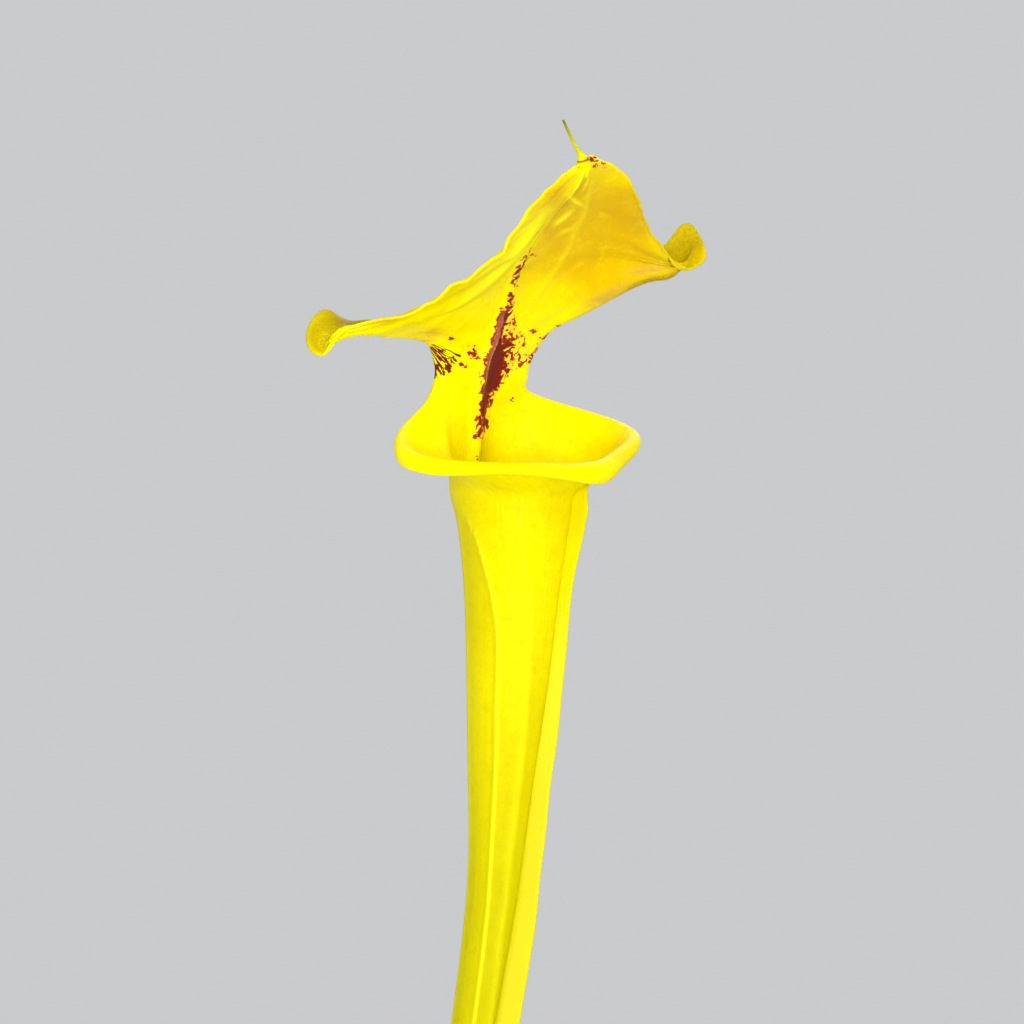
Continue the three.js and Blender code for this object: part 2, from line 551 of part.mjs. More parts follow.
// Soil with an uneven top and a plain hole for everything that stands in it.
function soil() {
  const low = POT.floor + GAP;
  const { level, relief, sides } = SOIL;
  const rim = innerRadius(level) - GAP;
  const height = (x, y) => {
    const broad = 0.5 * Math.sin(x / 9 + 1) * Math.cos(y / 11);
    const small = 0.35 * Math.sin((x + 2 * y) / 7) - 0.3 * Math.cos((2 * x - y) / 8);
    return level + relief * (broad + small);
  };
  const points = [[0, 0, low]];
  const triangles = [];
  const bottom = Array.from({ length: sides }, (_, j) => {
    const a = (2 * Math.PI * j) / sides;
    const r = (innerRadius(low) - GAP) / Math.cos(Math.PI / sides) * 0.985;
    return points.push([r * Math.cos(a), r * Math.sin(a), low]) - 1;
  });
  const rows = [1, 0.83, 0.66, 0.5, 0.34, 0.17].map((share) =>
    Array.from({ length: sides }, (_, j) => {
      const a = (2 * Math.PI * j) / sides;
      const [x, y] = [rim * share * Math.cos(a), rim * share * Math.sin(a)];
      return points.push([x, y, share === 1 ? level - 1 : height(x, y)]) - 1;
    }),
  );
  const peak = points.push([0, 0, height(0, 0)]) - 1;
  const all = [bottom, ...rows];
  for (let j = 0; j < sides; j++) {
    const k = (j + 1) % sides;
    triangles.push([0, bottom[k], bottom[j]], [all.at(-1)[j], all.at(-1)[k], peak]);
    for (let r = 0; r + 1 < all.length; r++) {
      triangles.push([all[r][j], all[r][k], all[r + 1][k]], [all[r][j], all[r + 1][k], all[r + 1][j]]);
    }
  }
  let made = solid(points, triangles);
  const swordFeet = SWORDS.map(({ foot }) => [...foot, 5.4]);
  const feet = [[TUBE[0][1], TUBE[0][2], 7.1], [...YOUNG.foot, 3.9], ...swordFeet];
  for (const [x, y, r] of feet) made = made.subtract(column(x, y, r, FOOT_Z - GAP, level + 20));
  return made.subtract(creepingStem(GAP + 0.1));
}

// Assembly.
const part = new THREE.Group();

function addNode(name, made, color, roughness) {
  const { vertProperties, triVerts } = made.getMesh();
  const geometry = new THREE.BufferGeometry();
  geometry.setAttribute("position", new THREE.BufferAttribute(vertProperties, 3));
  geometry.setIndex(new THREE.BufferAttribute(triVerts, 1));
  geometry.computeVertexNormals();
  const mesh = new THREE.Mesh(geometry, new THREE.MeshStandardMaterial({ color, roughness, metalness: 0 }));
  mesh.name = name;
  part.add(mesh);
}

addNode("pot", pot(), 0x4a3b33, 0.6);
addNode("soil", soil(), 0x4b3524, 0.95);
addNode("creeping_stem", creepingStem(), 0x7a5a34, 0.8);
addNode("pitcher", pitcher, 0xf0dc10, 0.5);
addNode("young_pitcher", youngPitcher(), 0xc8cf3a, 0.5);
for (const sword of SWORDS) addNode(sword.name, swordLeaf(sword), 0x9fb032, 0.55);

export default part;
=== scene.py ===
# Looks of the potted yellow pitcher plant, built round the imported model.
# Lengths are in millimetres until a mesh is made.
import itertools
import math

import bpy
import numpy as np
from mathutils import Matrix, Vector, noise


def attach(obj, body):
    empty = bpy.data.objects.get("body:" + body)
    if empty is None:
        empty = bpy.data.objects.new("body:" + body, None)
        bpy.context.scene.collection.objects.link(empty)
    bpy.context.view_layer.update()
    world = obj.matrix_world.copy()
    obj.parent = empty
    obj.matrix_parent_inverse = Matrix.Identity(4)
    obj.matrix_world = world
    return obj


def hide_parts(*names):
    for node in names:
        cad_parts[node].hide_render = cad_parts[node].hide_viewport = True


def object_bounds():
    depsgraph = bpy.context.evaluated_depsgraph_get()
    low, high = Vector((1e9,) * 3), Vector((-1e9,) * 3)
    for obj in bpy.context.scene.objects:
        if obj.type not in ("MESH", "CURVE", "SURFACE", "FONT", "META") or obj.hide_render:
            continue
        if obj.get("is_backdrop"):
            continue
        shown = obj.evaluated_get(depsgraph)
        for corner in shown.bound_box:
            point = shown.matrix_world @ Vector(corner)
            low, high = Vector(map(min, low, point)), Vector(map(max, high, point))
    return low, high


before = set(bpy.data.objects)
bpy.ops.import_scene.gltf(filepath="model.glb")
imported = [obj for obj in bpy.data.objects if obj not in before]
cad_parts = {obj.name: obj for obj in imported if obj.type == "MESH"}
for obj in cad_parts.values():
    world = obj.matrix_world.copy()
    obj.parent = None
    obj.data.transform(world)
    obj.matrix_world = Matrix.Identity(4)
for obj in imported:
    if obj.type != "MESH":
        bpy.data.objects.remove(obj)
CAD_BOX = [list(corner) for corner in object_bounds()]
MM = 0.001

# The plant's measures. They are the part's own, apart from the wall, which is 0.2 mm thinner here, three
# folds at the lid's right corner and the lower half of the bristle, which differ by 1.2 mm at most.
FRONT = np.array([0.616, -0.788])
SIDE = np.array([0.788, 0.616])
MOUTH_X = 13.8
HOLLOW_FROM = 300
LEAF_WALL = 0.8
# The tube: height, x, y and radius.
TUBE = [
    [97.5, -19, 0, 5.6], [112, -19, 0, 6.2], [128, -18.8, 0.2, 5.6], [165, -16.8, 1.2, 5.3],
    [215, -12.6, 2.6, 5.6], [270, -6.6, 3.4, 6.2], [318, -0.2, 3.2, 6.9], [366.3, 7.1, 2.3, 8.3],
    [400, 9.9, 1.4, 10.4], [432.3, 12.3, 0.6, 13.3], [460, 13.7, 0.1, 15.5], [481.2, 14.3, 0, 18.4],
]
THROAT_X, THROAT_R, THROAT_FRONT, THROAT_BACK = 14, 20.2, 488.8, 490.8
# The lip: forward and sideways from the mouth's middle, height, how far out and down its roll lies, and
# then its margin.
RIM = [
    [-9, -31.8, 509, 3.1, 1.6, 2.5, 5], [1, -41, 502.2, 3.2, 1.4, 2.4, 4.4],
    [14, -37, 498.2, 4, 0.8, 3.2, 3.5], [25, -25.5, 497.1, 4.2, 0.5, 3.7, 1.9],
    [32.5, -11, 496.9, 4.4, 0.8, 3.9, 3.1], [35, 2.2, 497.8, 4, 2.2, 2.8, 5.4],
    [29, 15, 501.4, 3.2, 1, 2, 3.8], [19, 27.4, 506.5, 3.2, 0.5, 2.2, 3.8],
    [-1, 28.7, 512.3, 3, 0.8, 2.4, 4.5],
]
# Each section: midrib, then on the left and on the right the fold, the outermost point and the margin.
LID = [
    [[4.1, 12.4, 517.5], [-10.2, -2.4, 516], [-13.1, -2.6, 515.6], [-13, 0.6, 514.6],
     [17.9, 20.3, 518.4], [18.8, 23, 518], [15.7, 23.7, 517.2]],
    [[5.7, 10.5, 525.3], [-6.7, 0.2, 524.4], [-9.6, 0, 524.4], [-9.5, 3.1, 524.4],
     [15.3, 18.8, 523.5], [16.2, 21.5, 523.5], [13.1, 22.2, 523.5]],
    [[7, 9, 531.9], [-7.3, -0.8, 530.5], [-10.2, -1, 530.1], [-10.1, 2.3, 530.1],
     [15.8, 18.6, 529], [17.1, 22, 528], [15.4, 25.4, 529.5]],
    [[8.1, 7.5, 536.7], [-10.7, -7, 536.7], [-12.5, -4, 534.5], [-12.1, 4, 535.9],
     [18.4, 18.5, 536.6], [19.9, 22.5, 534.3], [21.2, 30, 536.8]],
    [[9, 6, 540.8], [-16.2, -13, 537.6], [-17.8, -9, 536], [-17.4, -2, 537.2],
     [22.3, 19, 540.9], [23.6, 23, 538.9], [25.2, 31.5, 541.8]],
    [[10, 4, 544.5], [-20.6, -19.5, 537.9], [-21.9, -14.5, 536], [-21.7, -8, 538.5],
     [27.2, 19.5, 543.8], [28.5, 23.5, 541.8], [30.4, 33, 546.1]],
    [[11.1, 2, 547.7], [-24.6, -25.5, 538.1], [-25.9, -20, 536.2], [-26, -14, 540.1],
     [33.9, 20, 547.3], [35.2, 24.5, 545], [36.5, 34.5, 549.6]],
    [[12.2, 0, 550.6], [-28.3, -30.5, 538.3], [-29.6, -25, 536.7], [-30.3, -19, 540.6],
     [40.6, 20.5, 550.9], [41.9, 25.5, 548.6], [43.3, 35.5, 553.6]],
    [[13.2, -2, 553.4], [-32, -34, 538.2], [-33.3, -29, 536.8], [-34.7, -23, 540.2],
     [47.9, 22, 554.8], [48.6, 27, 552.2], [50.7, 36.5, 559.2]],
    [[14.2, -4.2, 555.7], [-35.1, -36.5, 537], [-36.7, -33, 535.3], [-38.7, -26, 541.7],
     [55, 25, 557.6], [55.7, 29.5, 555.1], [59, 37.5, 565.1]],
    [[15.3, -6.5, 557.8], [-37.7, -37.5, 535.7], [-39.8, -35.5, 533.3], [-42.4, -28.5, 543.2],
     [60.6, 28, 558.9], [62.6, 33, 557.5], [65.9, 39.5, 572.4]],
    [[16.5, -8.5, 560], [-38.9, -38, 533.6], [-42.7, -36, 534.5], [-46.7, -32, 539.1],
     [62.8, 29, 558.6], [67.9, 35, 564], [70.8, 38.5, 567.9]],
    [[17.7, -10.5, 561.9], [-39.1, -39, 533.4], [-43, -38, 532.1], [-47.1, -36, 532.5],
     [63.1, 29, 558.7], [67.8, 33.5, 560.3], [72.1, 36.5, 562]],
    [[19, -13, 564.2], [-38.8, -40, 533.5], [-41.1, -40, 531.5], [-43.5, -39, 529.6],
     [63, 28.5, 558.8], [65.9, 31, 558.6], [68.4, 33.5, 558.4]],
    [[20.6, -15.5, 566.7], [-36.7, -40, 535], [-38.2, -41, 534.1], [-39.9, -41.5, 533.2],
     [61.4, 26.5, 559.9], [62.4, 27.5, 559.4], [63.7, 28.5, 558.6]],
    [[22.4, -18.5, 569.2], [-27.7, -40, 539], [-29.4, -41.5, 539], [-31.1, -43, 539.1],
     [56.3, 19, 563.2], [57.6, 20.5, 563.3], [58.9, 22, 563.4]],
    [[24.4, -22, 571.8], [-13.4, -39.5, 544.1], [-15.1, -41.5, 543.3], [-16.8, -43.5, 542.5],
     [52.2, 11, 568.1], [53.3, 12, 568.3], [54.4, 13, 568.6]],
    [[26.8, -25.5, 574.3], [0.9, -39.5, 553.2], [-0.2, -42, 552.5], [-1.4, -44.5, 551.8],
     [49.1, -3, 574.3], [50.2, -2.5, 574.6], [51.2, -2, 575]],
    [[29.4, -29.5, 576.7], [12.6, -40, 563.6], [11.4, -42.5, 562.8], [10.3, -45.5, 561.9],
     [45.7, -16, 581.3], [46.7, -16, 581.7], [47.7, -16, 582.1]],
    [[32, -33.5, 579.5], [21, -40.5, 574], [19.9, -42.5, 574.2], [18.7, -44.5, 574.3],
     [39.6, -27, 585.8], [40.5, -27, 586.3], [41.4, -27, 586.7]],
    [[33.7, -36.5, 583.4], [31.9, -38.5, 584.2], [31.3, -38.8, 584.4], [30.7, -39, 584.7],
     [34.9, -34, 587.4], [35.2, -34, 587.8], [35.5, -34, 588.1]],
]
# How far each section bows outwards between the midrib and the fold.
BOW_LEFT = [
    0, -0.3, -0.3, -0.8, -1.2, -1.6, -2, -2.6, -3.4, -4.2, -4.8, -5.2, -5.4, -5.4, -5.4, -5, -3.4, -1.2,
    0.6, 0.6, 0.2,
]
BOW_RIGHT = [
    0, -0.3, -0.3, -0.6, -0.6, 0, 1, 2, 2.8, 3.2, 3.5, 3.6, 3.6, 3.6, 3.6, 3.6, 3.4, 3, 2.4, 1.4, 0.4,
]
# The wing: height and how far it stands out, then its turn from the mouth's front towards the right in
# degrees, and half its thickness at the root and at the edge.
WING = [
    [113, 3.4], [150, 6.2], [215, 7.6], [270, 8], [318, 7.9], [344, 7.6], [366, 7], [391, 6.4],
    [413, 5.4], [432, 4.5], [450, 4], [466, 4.3], [476, 5], [484, 5.5], [489, 4.2], [492, 1.2],
]
WING_TURN, WING_ROOT, WING_EDGE = 22, 0.9, 0.45
# The beak and bristle: x, y, height and radius.
BRISTLE = [
    [33.6, -34.4, 581.6, 0.9], [33.6, -34.7, 584.2, 2.3], [33.5, -35.3, 586.4, 1.9],
    [32.7, -35.8, 588.2, 0.95], [31.5, -35.6, 590.2, 0.55], [30.2, -35.2, 592.8, 0.46],
    [28.9, -34.8, 595.6, 0.4], [27.6, -34.4, 598.5, 0.34],
]
# Each sword leaf: where it stands, its direction, length, half width and how far it leans, in degrees.
SWORDS = [
    ("sword_leaf_left", (-33, -1), 190, 150, 9.5, 62),
    ("sword_leaf_back", (-19, 14), 75, 185, 10.5, 48),
    ("sword_leaf_front", (-9.5, -12), -55, 125, 8.5, 58),
]
FOOT_Z = 97.5
# The stem: x, y, height and radius.
STEM = [
    [-22, -10.5, 98.2, 4.2], [-24, -14.5, 99.6, 7], [-27, -21, 99.4, 7.8], [-30.5, -28.5, 98.6, 7.2],
    [-33.6, -36, 97.4, 6.2], [-35.6, -41.5, 96.4, 3.6],
]
POT_R, POT_TOP_R, POT_H, POT_WALL, POT_FLOOR, RIM_R, RIM_H = 49, 65, 118, 2.4, 3, 69, 11
SOIL_LEVEL, SOIL_RELIEF = 104, 2.2

# Ridges on the tube: height, then direction in degrees from the side that the camera sees.
LEFT_VEIN = [
    (97, -3), (330, -4), (351, -7), (367, -11), (388, -13), (410, -14), (425, -17), (441, -17), (449, -19),
    (461, -27), (477, -44), (488, -68),
]
RIGHT_RIDGE = [
    (97, 33), (340, 34), (356, 26), (375, 23), (394, 24), (413, 24), (436, 20), (447, 19), (455, 18),
    (463, 13), (476, 3),
]
WING_DIRECTION = 60

# The cage of the pitcher's sheet: columns all round the tube, rounds in which it is fitted so that the
# smooth surface meets its points, and rounds in which it is split.
COLUMNS = 18
FITTING_ROUNDS = 30
SUBDIVISIONS = 3


# Numbers and rings.
def unit(a):
    return a / np.maximum(np.linalg.norm(a, axis=-1, keepdims=True), 1e-12)


def smooth(low, high, x):
    """0 at low and 1 at high, with a soft start and end."""
    t = np.clip((x - low) / (high - low), 0, 1)
    return t * t * (3 - 2 * t)


def between(x, start, full, fade, end):
    """0 up to start, 1 from full to fade and 0 again from end."""
    return smooth(start, full, x) * smooth(end, fade, x)


def bell(x, wide):
    return np.exp(-(x / wide) ** 2)


def read(x, stations, column=1):
    """A column of a table at x, which its first column counts."""
    return np.interp(x, [s[0] for s in stations], [s[column] for s in stations])


def directions(sides):
    return 2 * np.pi * np.arange(sides) / sides


def hoop(r, z, sides, x=0.0, y=0.0):
    """A level ring of points."""
    return np.array([[x + r * math.cos(a), y + r * math.sin(a), z] for a in directions(sides)])


def loft(rings):
    """Points and faces of a closed body through rings of equally many points."""
    n = len(rings[0])
    last = (len(rings) - 1) * n
    points = [p for ring in rings for p in ring] + [np.mean(rings[0], 0), np.mean(rings[-1], 0)]
    sides = [(j, (j + 1) % n) for j in range(n)]
    faces = [(r + j, r + k, r + n + k, r + n + j) for r in range(0, last, n) for j, k in sides]
    for j, k in sides:
        faces += [(last + n, k, j), (last + n + 1, last + j, last + k)]
    return np.array(points), faces


def by_ring(rings, sides):
    """0 at a body's first ring to 1 at its last, for each of its points."""
    return np.append(np.repeat(np.linspace(0, 1, rings), sides), [0, 1])


def by_side(values, rings):
    """The same values in each ring of a body, and 0 in the middle of its two ends."""
    return np.append(np.tile(values, rings), [0, 0])


def spline(stations, steps):
    """A smooth row through the stations, with steps points between neighbours."""
    s = np.asarray(stations, float)
    s = np.vstack([2 * s[0] - s[1], s, 2 * s[-1] - s[-2]])
    out = []
    for i in range(1, len(s) - 2):
        a, b, c, d = s[i - 1:i + 3]
        for t in np.arange(steps) / steps:
            curve = (2 * a - 5 * b + 4 * c - d) * t**2 + (3 * b - a - 3 * c + d) * t**3
            out.append(0.5 * (2 * b + (c - a) * t + curve))
    return np.array(out + [s[-2]])


def bar(stations, sides, bumps):
    """Rings of a round bar along rows of x, y, z, radius."""
    s = np.asarray(stations, float)
    a = directions(sides)
    rings = []
    for i, row in enumerate(s):
        along = unit(s[min(i + 1, len(s) - 1), :3] - s[max(i - 1, 0), :3])
        across = unit(np.cross([0.31, -0.9, 0.3], along))
        up = np.cross(along, across)
        r = row[3] * (1 + bumps(i / (len(s) - 1), a))
        rings.append(row[:3] + r[:, None] * (np.cos(a)[:, None] * across + np.sin(a)[:, None] * up))
    return rings


# Meshes and objects.
def mesh_of(name, points, faces):
    mesh = bpy.data.meshes.new(name)
    mesh.from_pydata((np.asarray(points) * MM).tolist(), [], faces)
    return mesh


def placed(name, data):
    made = bpy.data.objects.new(name, data)
    bpy.context.scene.collection.objects.link(made)
    return made


class Body:
    """Collects parts with their per-point values into one mesh."""

    def __init__(self):
        self.points, self.faces, self.values, self.count = [], [], [], 0

    def add(self, points, faces, **values):
        self.faces += [tuple(int(i) + self.count for i in f) for f in faces]
        self.points.append(np.asarray(points, float))
        self.values.append((len(points), values))
        self.count += len(points)

    def make(self, name, material, slot, node=None):
        mesh = mesh_of(name, np.concatenate(self.points), self.faces)
        for value in sorted({n for _, values in self.values for n in values}):
            parts = [np.broadcast_to(np.asarray(v.get(value, 0), float), count) for count, v in self.values]
            layer = mesh.attributes.new(value, "FLOAT", "POINT")
            layer.data.foreach_set("value", np.concatenate(parts).astype(np.float32))
        mesh.polygons.foreach_set("use_smooth", [True] * len(mesh.polygons))
        mesh.materials.append(material)
        mesh.update()
        made = placed(name, mesh)
        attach(made, "root")
        if node:
            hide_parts(node)
        return made


# A smooth sheet from a cage of quads. A point is x, y, z and then values that are carried along.
def links(quads, count):
    """The cage's edges, the edge on each side of each quad, and which edges have a single quad."""
    a, b = quads.ravel(), np.roll(quads, -1, 1).ravel()
    code = np.minimum(a, b) * count + np.maximum(a, b)
    key, where, times = np.unique(code, return_inverse=True, return_counts=True)
    return np.stack([key // count, key % count], 1), where.reshape(-1), times == 1


def gathered(index, rows, count):
    out = np.zeros((count, rows.shape[1]))
    np.add.at(out, index, rows)
    return out


def beside(ends, points):
    """For each point, the sum of those that share an edge with it."""
    out = gathered(ends[:, 0], points[ends[:, 1]], len(points))
    return out + gathered(ends[:, 1], points[ends[:, 0]], len(points))


def settled(points, quads):
    """Where each cage point ends up on the smooth surface."""
    count = len(points)
    ends, _, border = links(quads, count)
    far = gathered(quads.ravel(), points[np.roll(quads, 2, 1).ravel()], count)
    n = np.bincount(ends.ravel(), minlength=count)[:, None].astype(float)
    made = (points * n * n + 4 * beside(ends, points) + far) / (n * (n + 5))
    rim = np.unique(ends[border])
    made[rim] = (4 * points[rim] + beside(ends[border], points)[rim]) / 6
    return made


def subdivided(points, quads):
    """The cage with each quad split into four and its points moved towards the smooth surface."""
    count = len(points)
    ends, where, border = links(quads, count)
    middle = points[quads].mean(1)
    edge_mid = points[ends].mean(1)
    next_to = gathered(where, np.repeat(middle, 4, 0), len(ends))
    edge_point = np.where(border[:, None], edge_mid, (2 * edge_mid + next_to) / 4)
    n = np.bincount(ends.ravel(), minlength=count)[:, None].astype(float)
    faces = gathered(quads.ravel(), np.repeat(middle, 4, 0), count)
    moved = (faces + beside(ends, points)) / n**2 + points * (n - 2) / n
    rim = np.unique(ends[border])
    moved[rim] = (6 * points[rim] + beside(ends[border], points)[rim]) / 8
    mid_edge = where.reshape(-1, 4) + count
    mid_face = np.arange(len(quads)) + count + len(ends)
    made = [np.stack([quads[:, i], mid_edge[:, i], mid_face, mid_edge[:, i - 1]], 1) for i in range(4)]
    return np.vstack([moved, edge_point, middle]), np.stack(made, 1).reshape(-1, 4)


def normals_of(points, quads):
    n = np.cross(points[quads[:, 2]] - points[quads[:, 0]], points[quads[:, 3]] - points[quads[:, 1]])
    return unit(gathered(quads.ravel(), np.repeat(n, 4, 0), len(points)))


# The pitcher.
def plan_point(forward, sideways, z, x=MOUTH_X, y=0.0):
    flat = np.array([x, y]) + forward * FRONT + sideways * SIDE
    return [flat[0], flat[1], z]


def pitcher_cage():
    """The cage: points of x, y, z, cosine and sine of the column, row and how far rolled, and the quads."""
    points, quads = [], []

    def put(rows, columns, row, roll=0.0):
        first = len(points)
        for p, c in zip(rows, columns):
            a = 2 * np.pi * c / COLUMNS
            points.append([*p, math.cos(a), math.sin(a), row, roll])
        return list(range(first, len(points)))

    def strip(low, high):
        for i in range(len(low) - 1):
            quads.append([low[i], low[i + 1], high[i + 1], high[i]])

    def ring(z, x, y, r):
        return [plan_point(r * math.cos(a), r * math.sin(a), z, x, y) for a in directions(COLUMNS) - np.pi]

    def half(mid, fold, bow):
        m, f = np.array(mid), np.array(fold)
        return [m + (f - m) * t + bow * 4 * t * (1 - t) for t in (0.25, 0.5, 0.75)] + [f]

    lid_rows = []
    for k, (mid, lf, lo, lm, rf, ro, rm) in enumerate(LID):
        outward = np.array([-FRONT[0], -FRONT[1], 0]) if k < 3 else unit(np.array([-0.42, 0.5, 0.75]))
        right, left = half(mid, rf, outward * BOW_RIGHT[k]), half(mid, lf, outward * BOW_LEFT[k])
        made = put([rm, ro, *right[::-1], mid, *left, lo, lm], range(-6, 7), k)
        for i, rolled in ((0, 2), (1, 1), (11, 1), (12, 2)):
            points[made[i]][6] = rolled
        lid_rows.append(made)

    def lip(out=None, down=None):
        """The lip's crest, or a line outside and below it by what two columns of its table say."""
        rows = []
        for row in RIM:
            grow = 1 + row[out] / math.hypot(row[0], row[1]) if out else 1
            rows.append(plan_point(row[0] * grow, row[1] * grow, row[2] - (row[down] if down else 0)))
        return rows

    crest = put(lip(), range(5, 14), 0)
    rolled = put(lip(3, 4), range(5, 14), 0, 1)
    margin = put(lip(5, 6), range(5, 14), 0, 2)
    first = lid_rows[0]
    loop = first[6:11] + crest + first[2:6]
    throat = [[x, y, THROAT_FRONT + (THROAT_BACK - THROAT_FRONT) * (1 + math.cos(a)) / 2]
              for (x, y, _), a in zip(ring(0, THROAT_X, 0, THROAT_R), directions(COLUMNS))]
    flare = [[(p + q) / 2 for p, q in zip(throat[j], points[loop[j]])] for j in range(COLUMNS)]
    rows = [*[ring(*t) for t in TUBE], throat, flare]
    rings = [put(r, range(COLUMNS), i - len(rows)) for i, r in enumerate(rows)] + [loop]
    for low, high in zip(rings, rings[1:]):
        strip(low + low[:1], high + high[:1])
    strip([loop[4], *crest, loop[14]], [first[11], *rolled, first[1]])
    strip([first[11], *rolled, first[1]], [first[12], *margin, first[0]])
    for low, high in zip(lid_rows, lid_rows[1:]):
        strip(low, high)
    return np.array(points, float), np.array(quads)


def tube_at(z):
    """The tube's middle and radius at a height."""
    table = [*TUBE, [THROAT_FRONT, THROAT_X, 0, THROAT_R], [WING[-1][0], THROAT_X, 0, THROAT_R + 3]]
    return [read(z, table, i) for i in (1, 2, 3)]


def tube_relief(p):
    """Ribs of the tube: how far each point stands out, then where a highlight is painted on the ribs and
    where shade is painted beside them and at the wing's root.
    """
    z = p[:, 2]
    x, y, r = tube_at(z)
    direction = np.degrees(np.arctan2(p[:, 0] - x, y - p[:, 1]))

    def past(at):
        """How far round the tube each point lies past a direction, in millimetres."""
        return np.radians((direction - at + 180) % 360 - 180) * r

    vein, ridge = past(read(z, LEFT_VEIN)), past(read(z, RIGHT_RIDGE))
    out = 0.42 * bell(vein, 0.75) + 0.4 * bell(ridge, 1.7)
    light = bell(vein, 0.5) + 0.3 * bell(ridge, 1.2) * smooth(480, 450, z)
    before_wing = smooth(WING_DIRECTION + 4, WING_DIRECTION, direction)
    shade = 0.9 * bell(vein + 1.2, 0.6) + 0.8 * bell(past(WING_DIRECTION - 4), 0.8)
    shade += 0.75 * smooth(-0.2, -1.5, vein) * smooth(-100, -70, direction) * smooth(432, 452, z)
    shade += 0.6 * smooth(0.4, 2, ridge) * before_wing * smooth(460, 415, z)
    shade += 0.35 * smooth(0.3, 2, vein) * smooth(0, -2, ridge) * smooth(440, 380, z)
    for k, at in enumerate(range(86, 285, 22)):
        rib = past(at + 3 * math.sin(k * 2.3))
        out += (0.22 + 0.1 * (k % 2)) * bell(rib, 0.8 + 0.04 * r)
        light += 0.6 * bell(rib, 0.5)
    ends = between(z, 100, 112, 476, 488)
    return out * ends, light * ends, np.clip(shade, 0, 1) * ends


def near_line(points, line):
    """Distance from points to a row of points, and how far along the row the nearest place is."""
    line = np.array(line, float)
    best, at = np.full(len(points), 1e9), np.zeros(len(points))
    for i, (a, b) in enumerate(zip(line, line[1:])):
        t = np.clip((points - a) @ (b - a) / ((b - a) @ (b - a)), 0, 1)
        off = np.linalg.norm(points - a - t[:, None] * (b - a), axis=1)
        at = np.where(off < best, (i + t) / (len(line) - 1), at)
        best = np.minimum(best, off)
    return best, at


# Markings on the inner face round the midrib: height, then solid width and how far the flecks reach, on the
# right and on the left.
MARKING = [
    (503, 0, 0.3, 0, 0.2), (506, 0.8, 0.5, 0, 0.2), (507.4, 1.5, 0.6, 0, 0.2), (509.7, 2.5, 0.6, 0, 0.2),
    (512.1, 2.4, 0.8, 0, 0.2), (514.4, 2.4, 0.7, 0, 0.2), (516.7, 2.7, 0.9, 0, 0.2), (519, 3, 1.4, 0, 0.2),
    (520.9, 4.2, 1.3, 0, 0.6), (523.8, 5, 1.8, 0, 1.9), (526.2, 5.4, 3, 0, 2.4), (528.4, 5.7, 6, 0, 2.2),
    (530.8, 5.2, 7.8, 0.1, 1.8), (533.1, 3.8, 8.8, 0.1, 1.4), (536, 2.4, 7, 0.2, 1.2),
    (538.8, 2.3, 4.6, 0.9, 0.9), (542.1, 2.9, 1.6, 1.2, 0.6), (544.5, 2.2, 0.8, 0.3, 0.4),
    (547.4, 1.5, 0.5, 0.4, 0.4), (548.8, 1.2, 0.4, 0.2, 0.3), (549.6, 0.1, 0.3, 0, 0.2),
    (550.4, 0.1, 0.3, 0, 0.2), (551.2, 0.9, 0.25, 0.1, 0.3), (555, 1.0, 0.2, 0, 0.2),
    (559, 0.8, 0.2, 0, 0.2), (562.5, 0.3, 0.2, 0, 0.2), (564, 0, 0.3, 0, 0.2),
]
# Lone flecks: x, height, half width, half height, strength.
FLECKS = [
    (1.2, 531.6, 3, 2, -0.15), (-2.8, 527.4, 1.4, 1, 0.3), (-5.4, 535.2, 1.4, 0.7, 0.2),
    (17.4, 531.3, 3.4, 2.6, 0), (23.7, 536.7, 3.2, 1.5, -0.1), (18.9, 538.5, 1.2, 0.5, 0.3),
    (20.5, 532, 1.6, 3, 0), (27, 540.5, 1, 0.5, 0.1), (12.5, 517.8, 0.6, 0.4, 0.2),
    (19, 560.5, 0.9, 0.5, 0.1), (36.4, 587.4, 2.2, 0.9, 0.1), (39.2, 585.9, 1.6, 0.8, 0.1),
    (37, 585, 1.2, 0.6, -0.2), (29.9, 583.8, 1.4, 1, -0.15), (27, 581, 0.8, 0.5, -0.1),
    (-4, 551.2, 0.7, 0.5, 0), (6, 532.6, 0.8, 0.5, 0),
]
# Fine ridges on the lid's inner face: points as x and height, then how high and how wide the ridge is.
LID_RIDGES = [
    ([(-14, 538), (-7.5, 542.5), (3, 550), (9.8, 556.5), (15.4, 562.5), (19.8, 569.5), (23.3, 573)],
     0.55, 0.9),
    ([(17.5, 547), (23.5, 554.8), (27.2, 560), (34, 574), (36, 584)], 0.25, 0.7),
    ([(-9, 536), (-3.5, 539.5), (4, 547)], 0.2, 0.6),
    ([(24.4, 569.4), (27, 571.4), (30.3, 574)], 0.6, 0.7),
    ([(28.5, 577.2), (30.5, 576.4), (33.4, 575.2)], 0.6, 0.6),
    ([(25.2, 566.4), (27.4, 568), (30.4, 569)], 0.3, 0.5),
    ([(32.5, 578.5), (34, 581), (34.6, 583)], 0.4, 0.5),
]
# The midrib's crest on the inner face: height, how far left of the middle line, and its x in the view.
KEEL = [
    (499, 3.9, 2), (508, 4.3, 2.6), (512, 4.6, 2.8), (519, 5.4, 3.5), (524.9, 5, 4.5), (530, 3.9, 6),
    (536.1, 2.5, 8), (542.3, 1.8, 9.3), (544.6, 1.6, 10.3), (547.4, 1.2, 11.7), (555.8, 1.1, 14.4),
    (563, 1.3, 18.2), (572, 1.6, 24.2), (577, 1.2, 29.2), (581, 0.6, 32.7), (584, 0, 34.6),
]
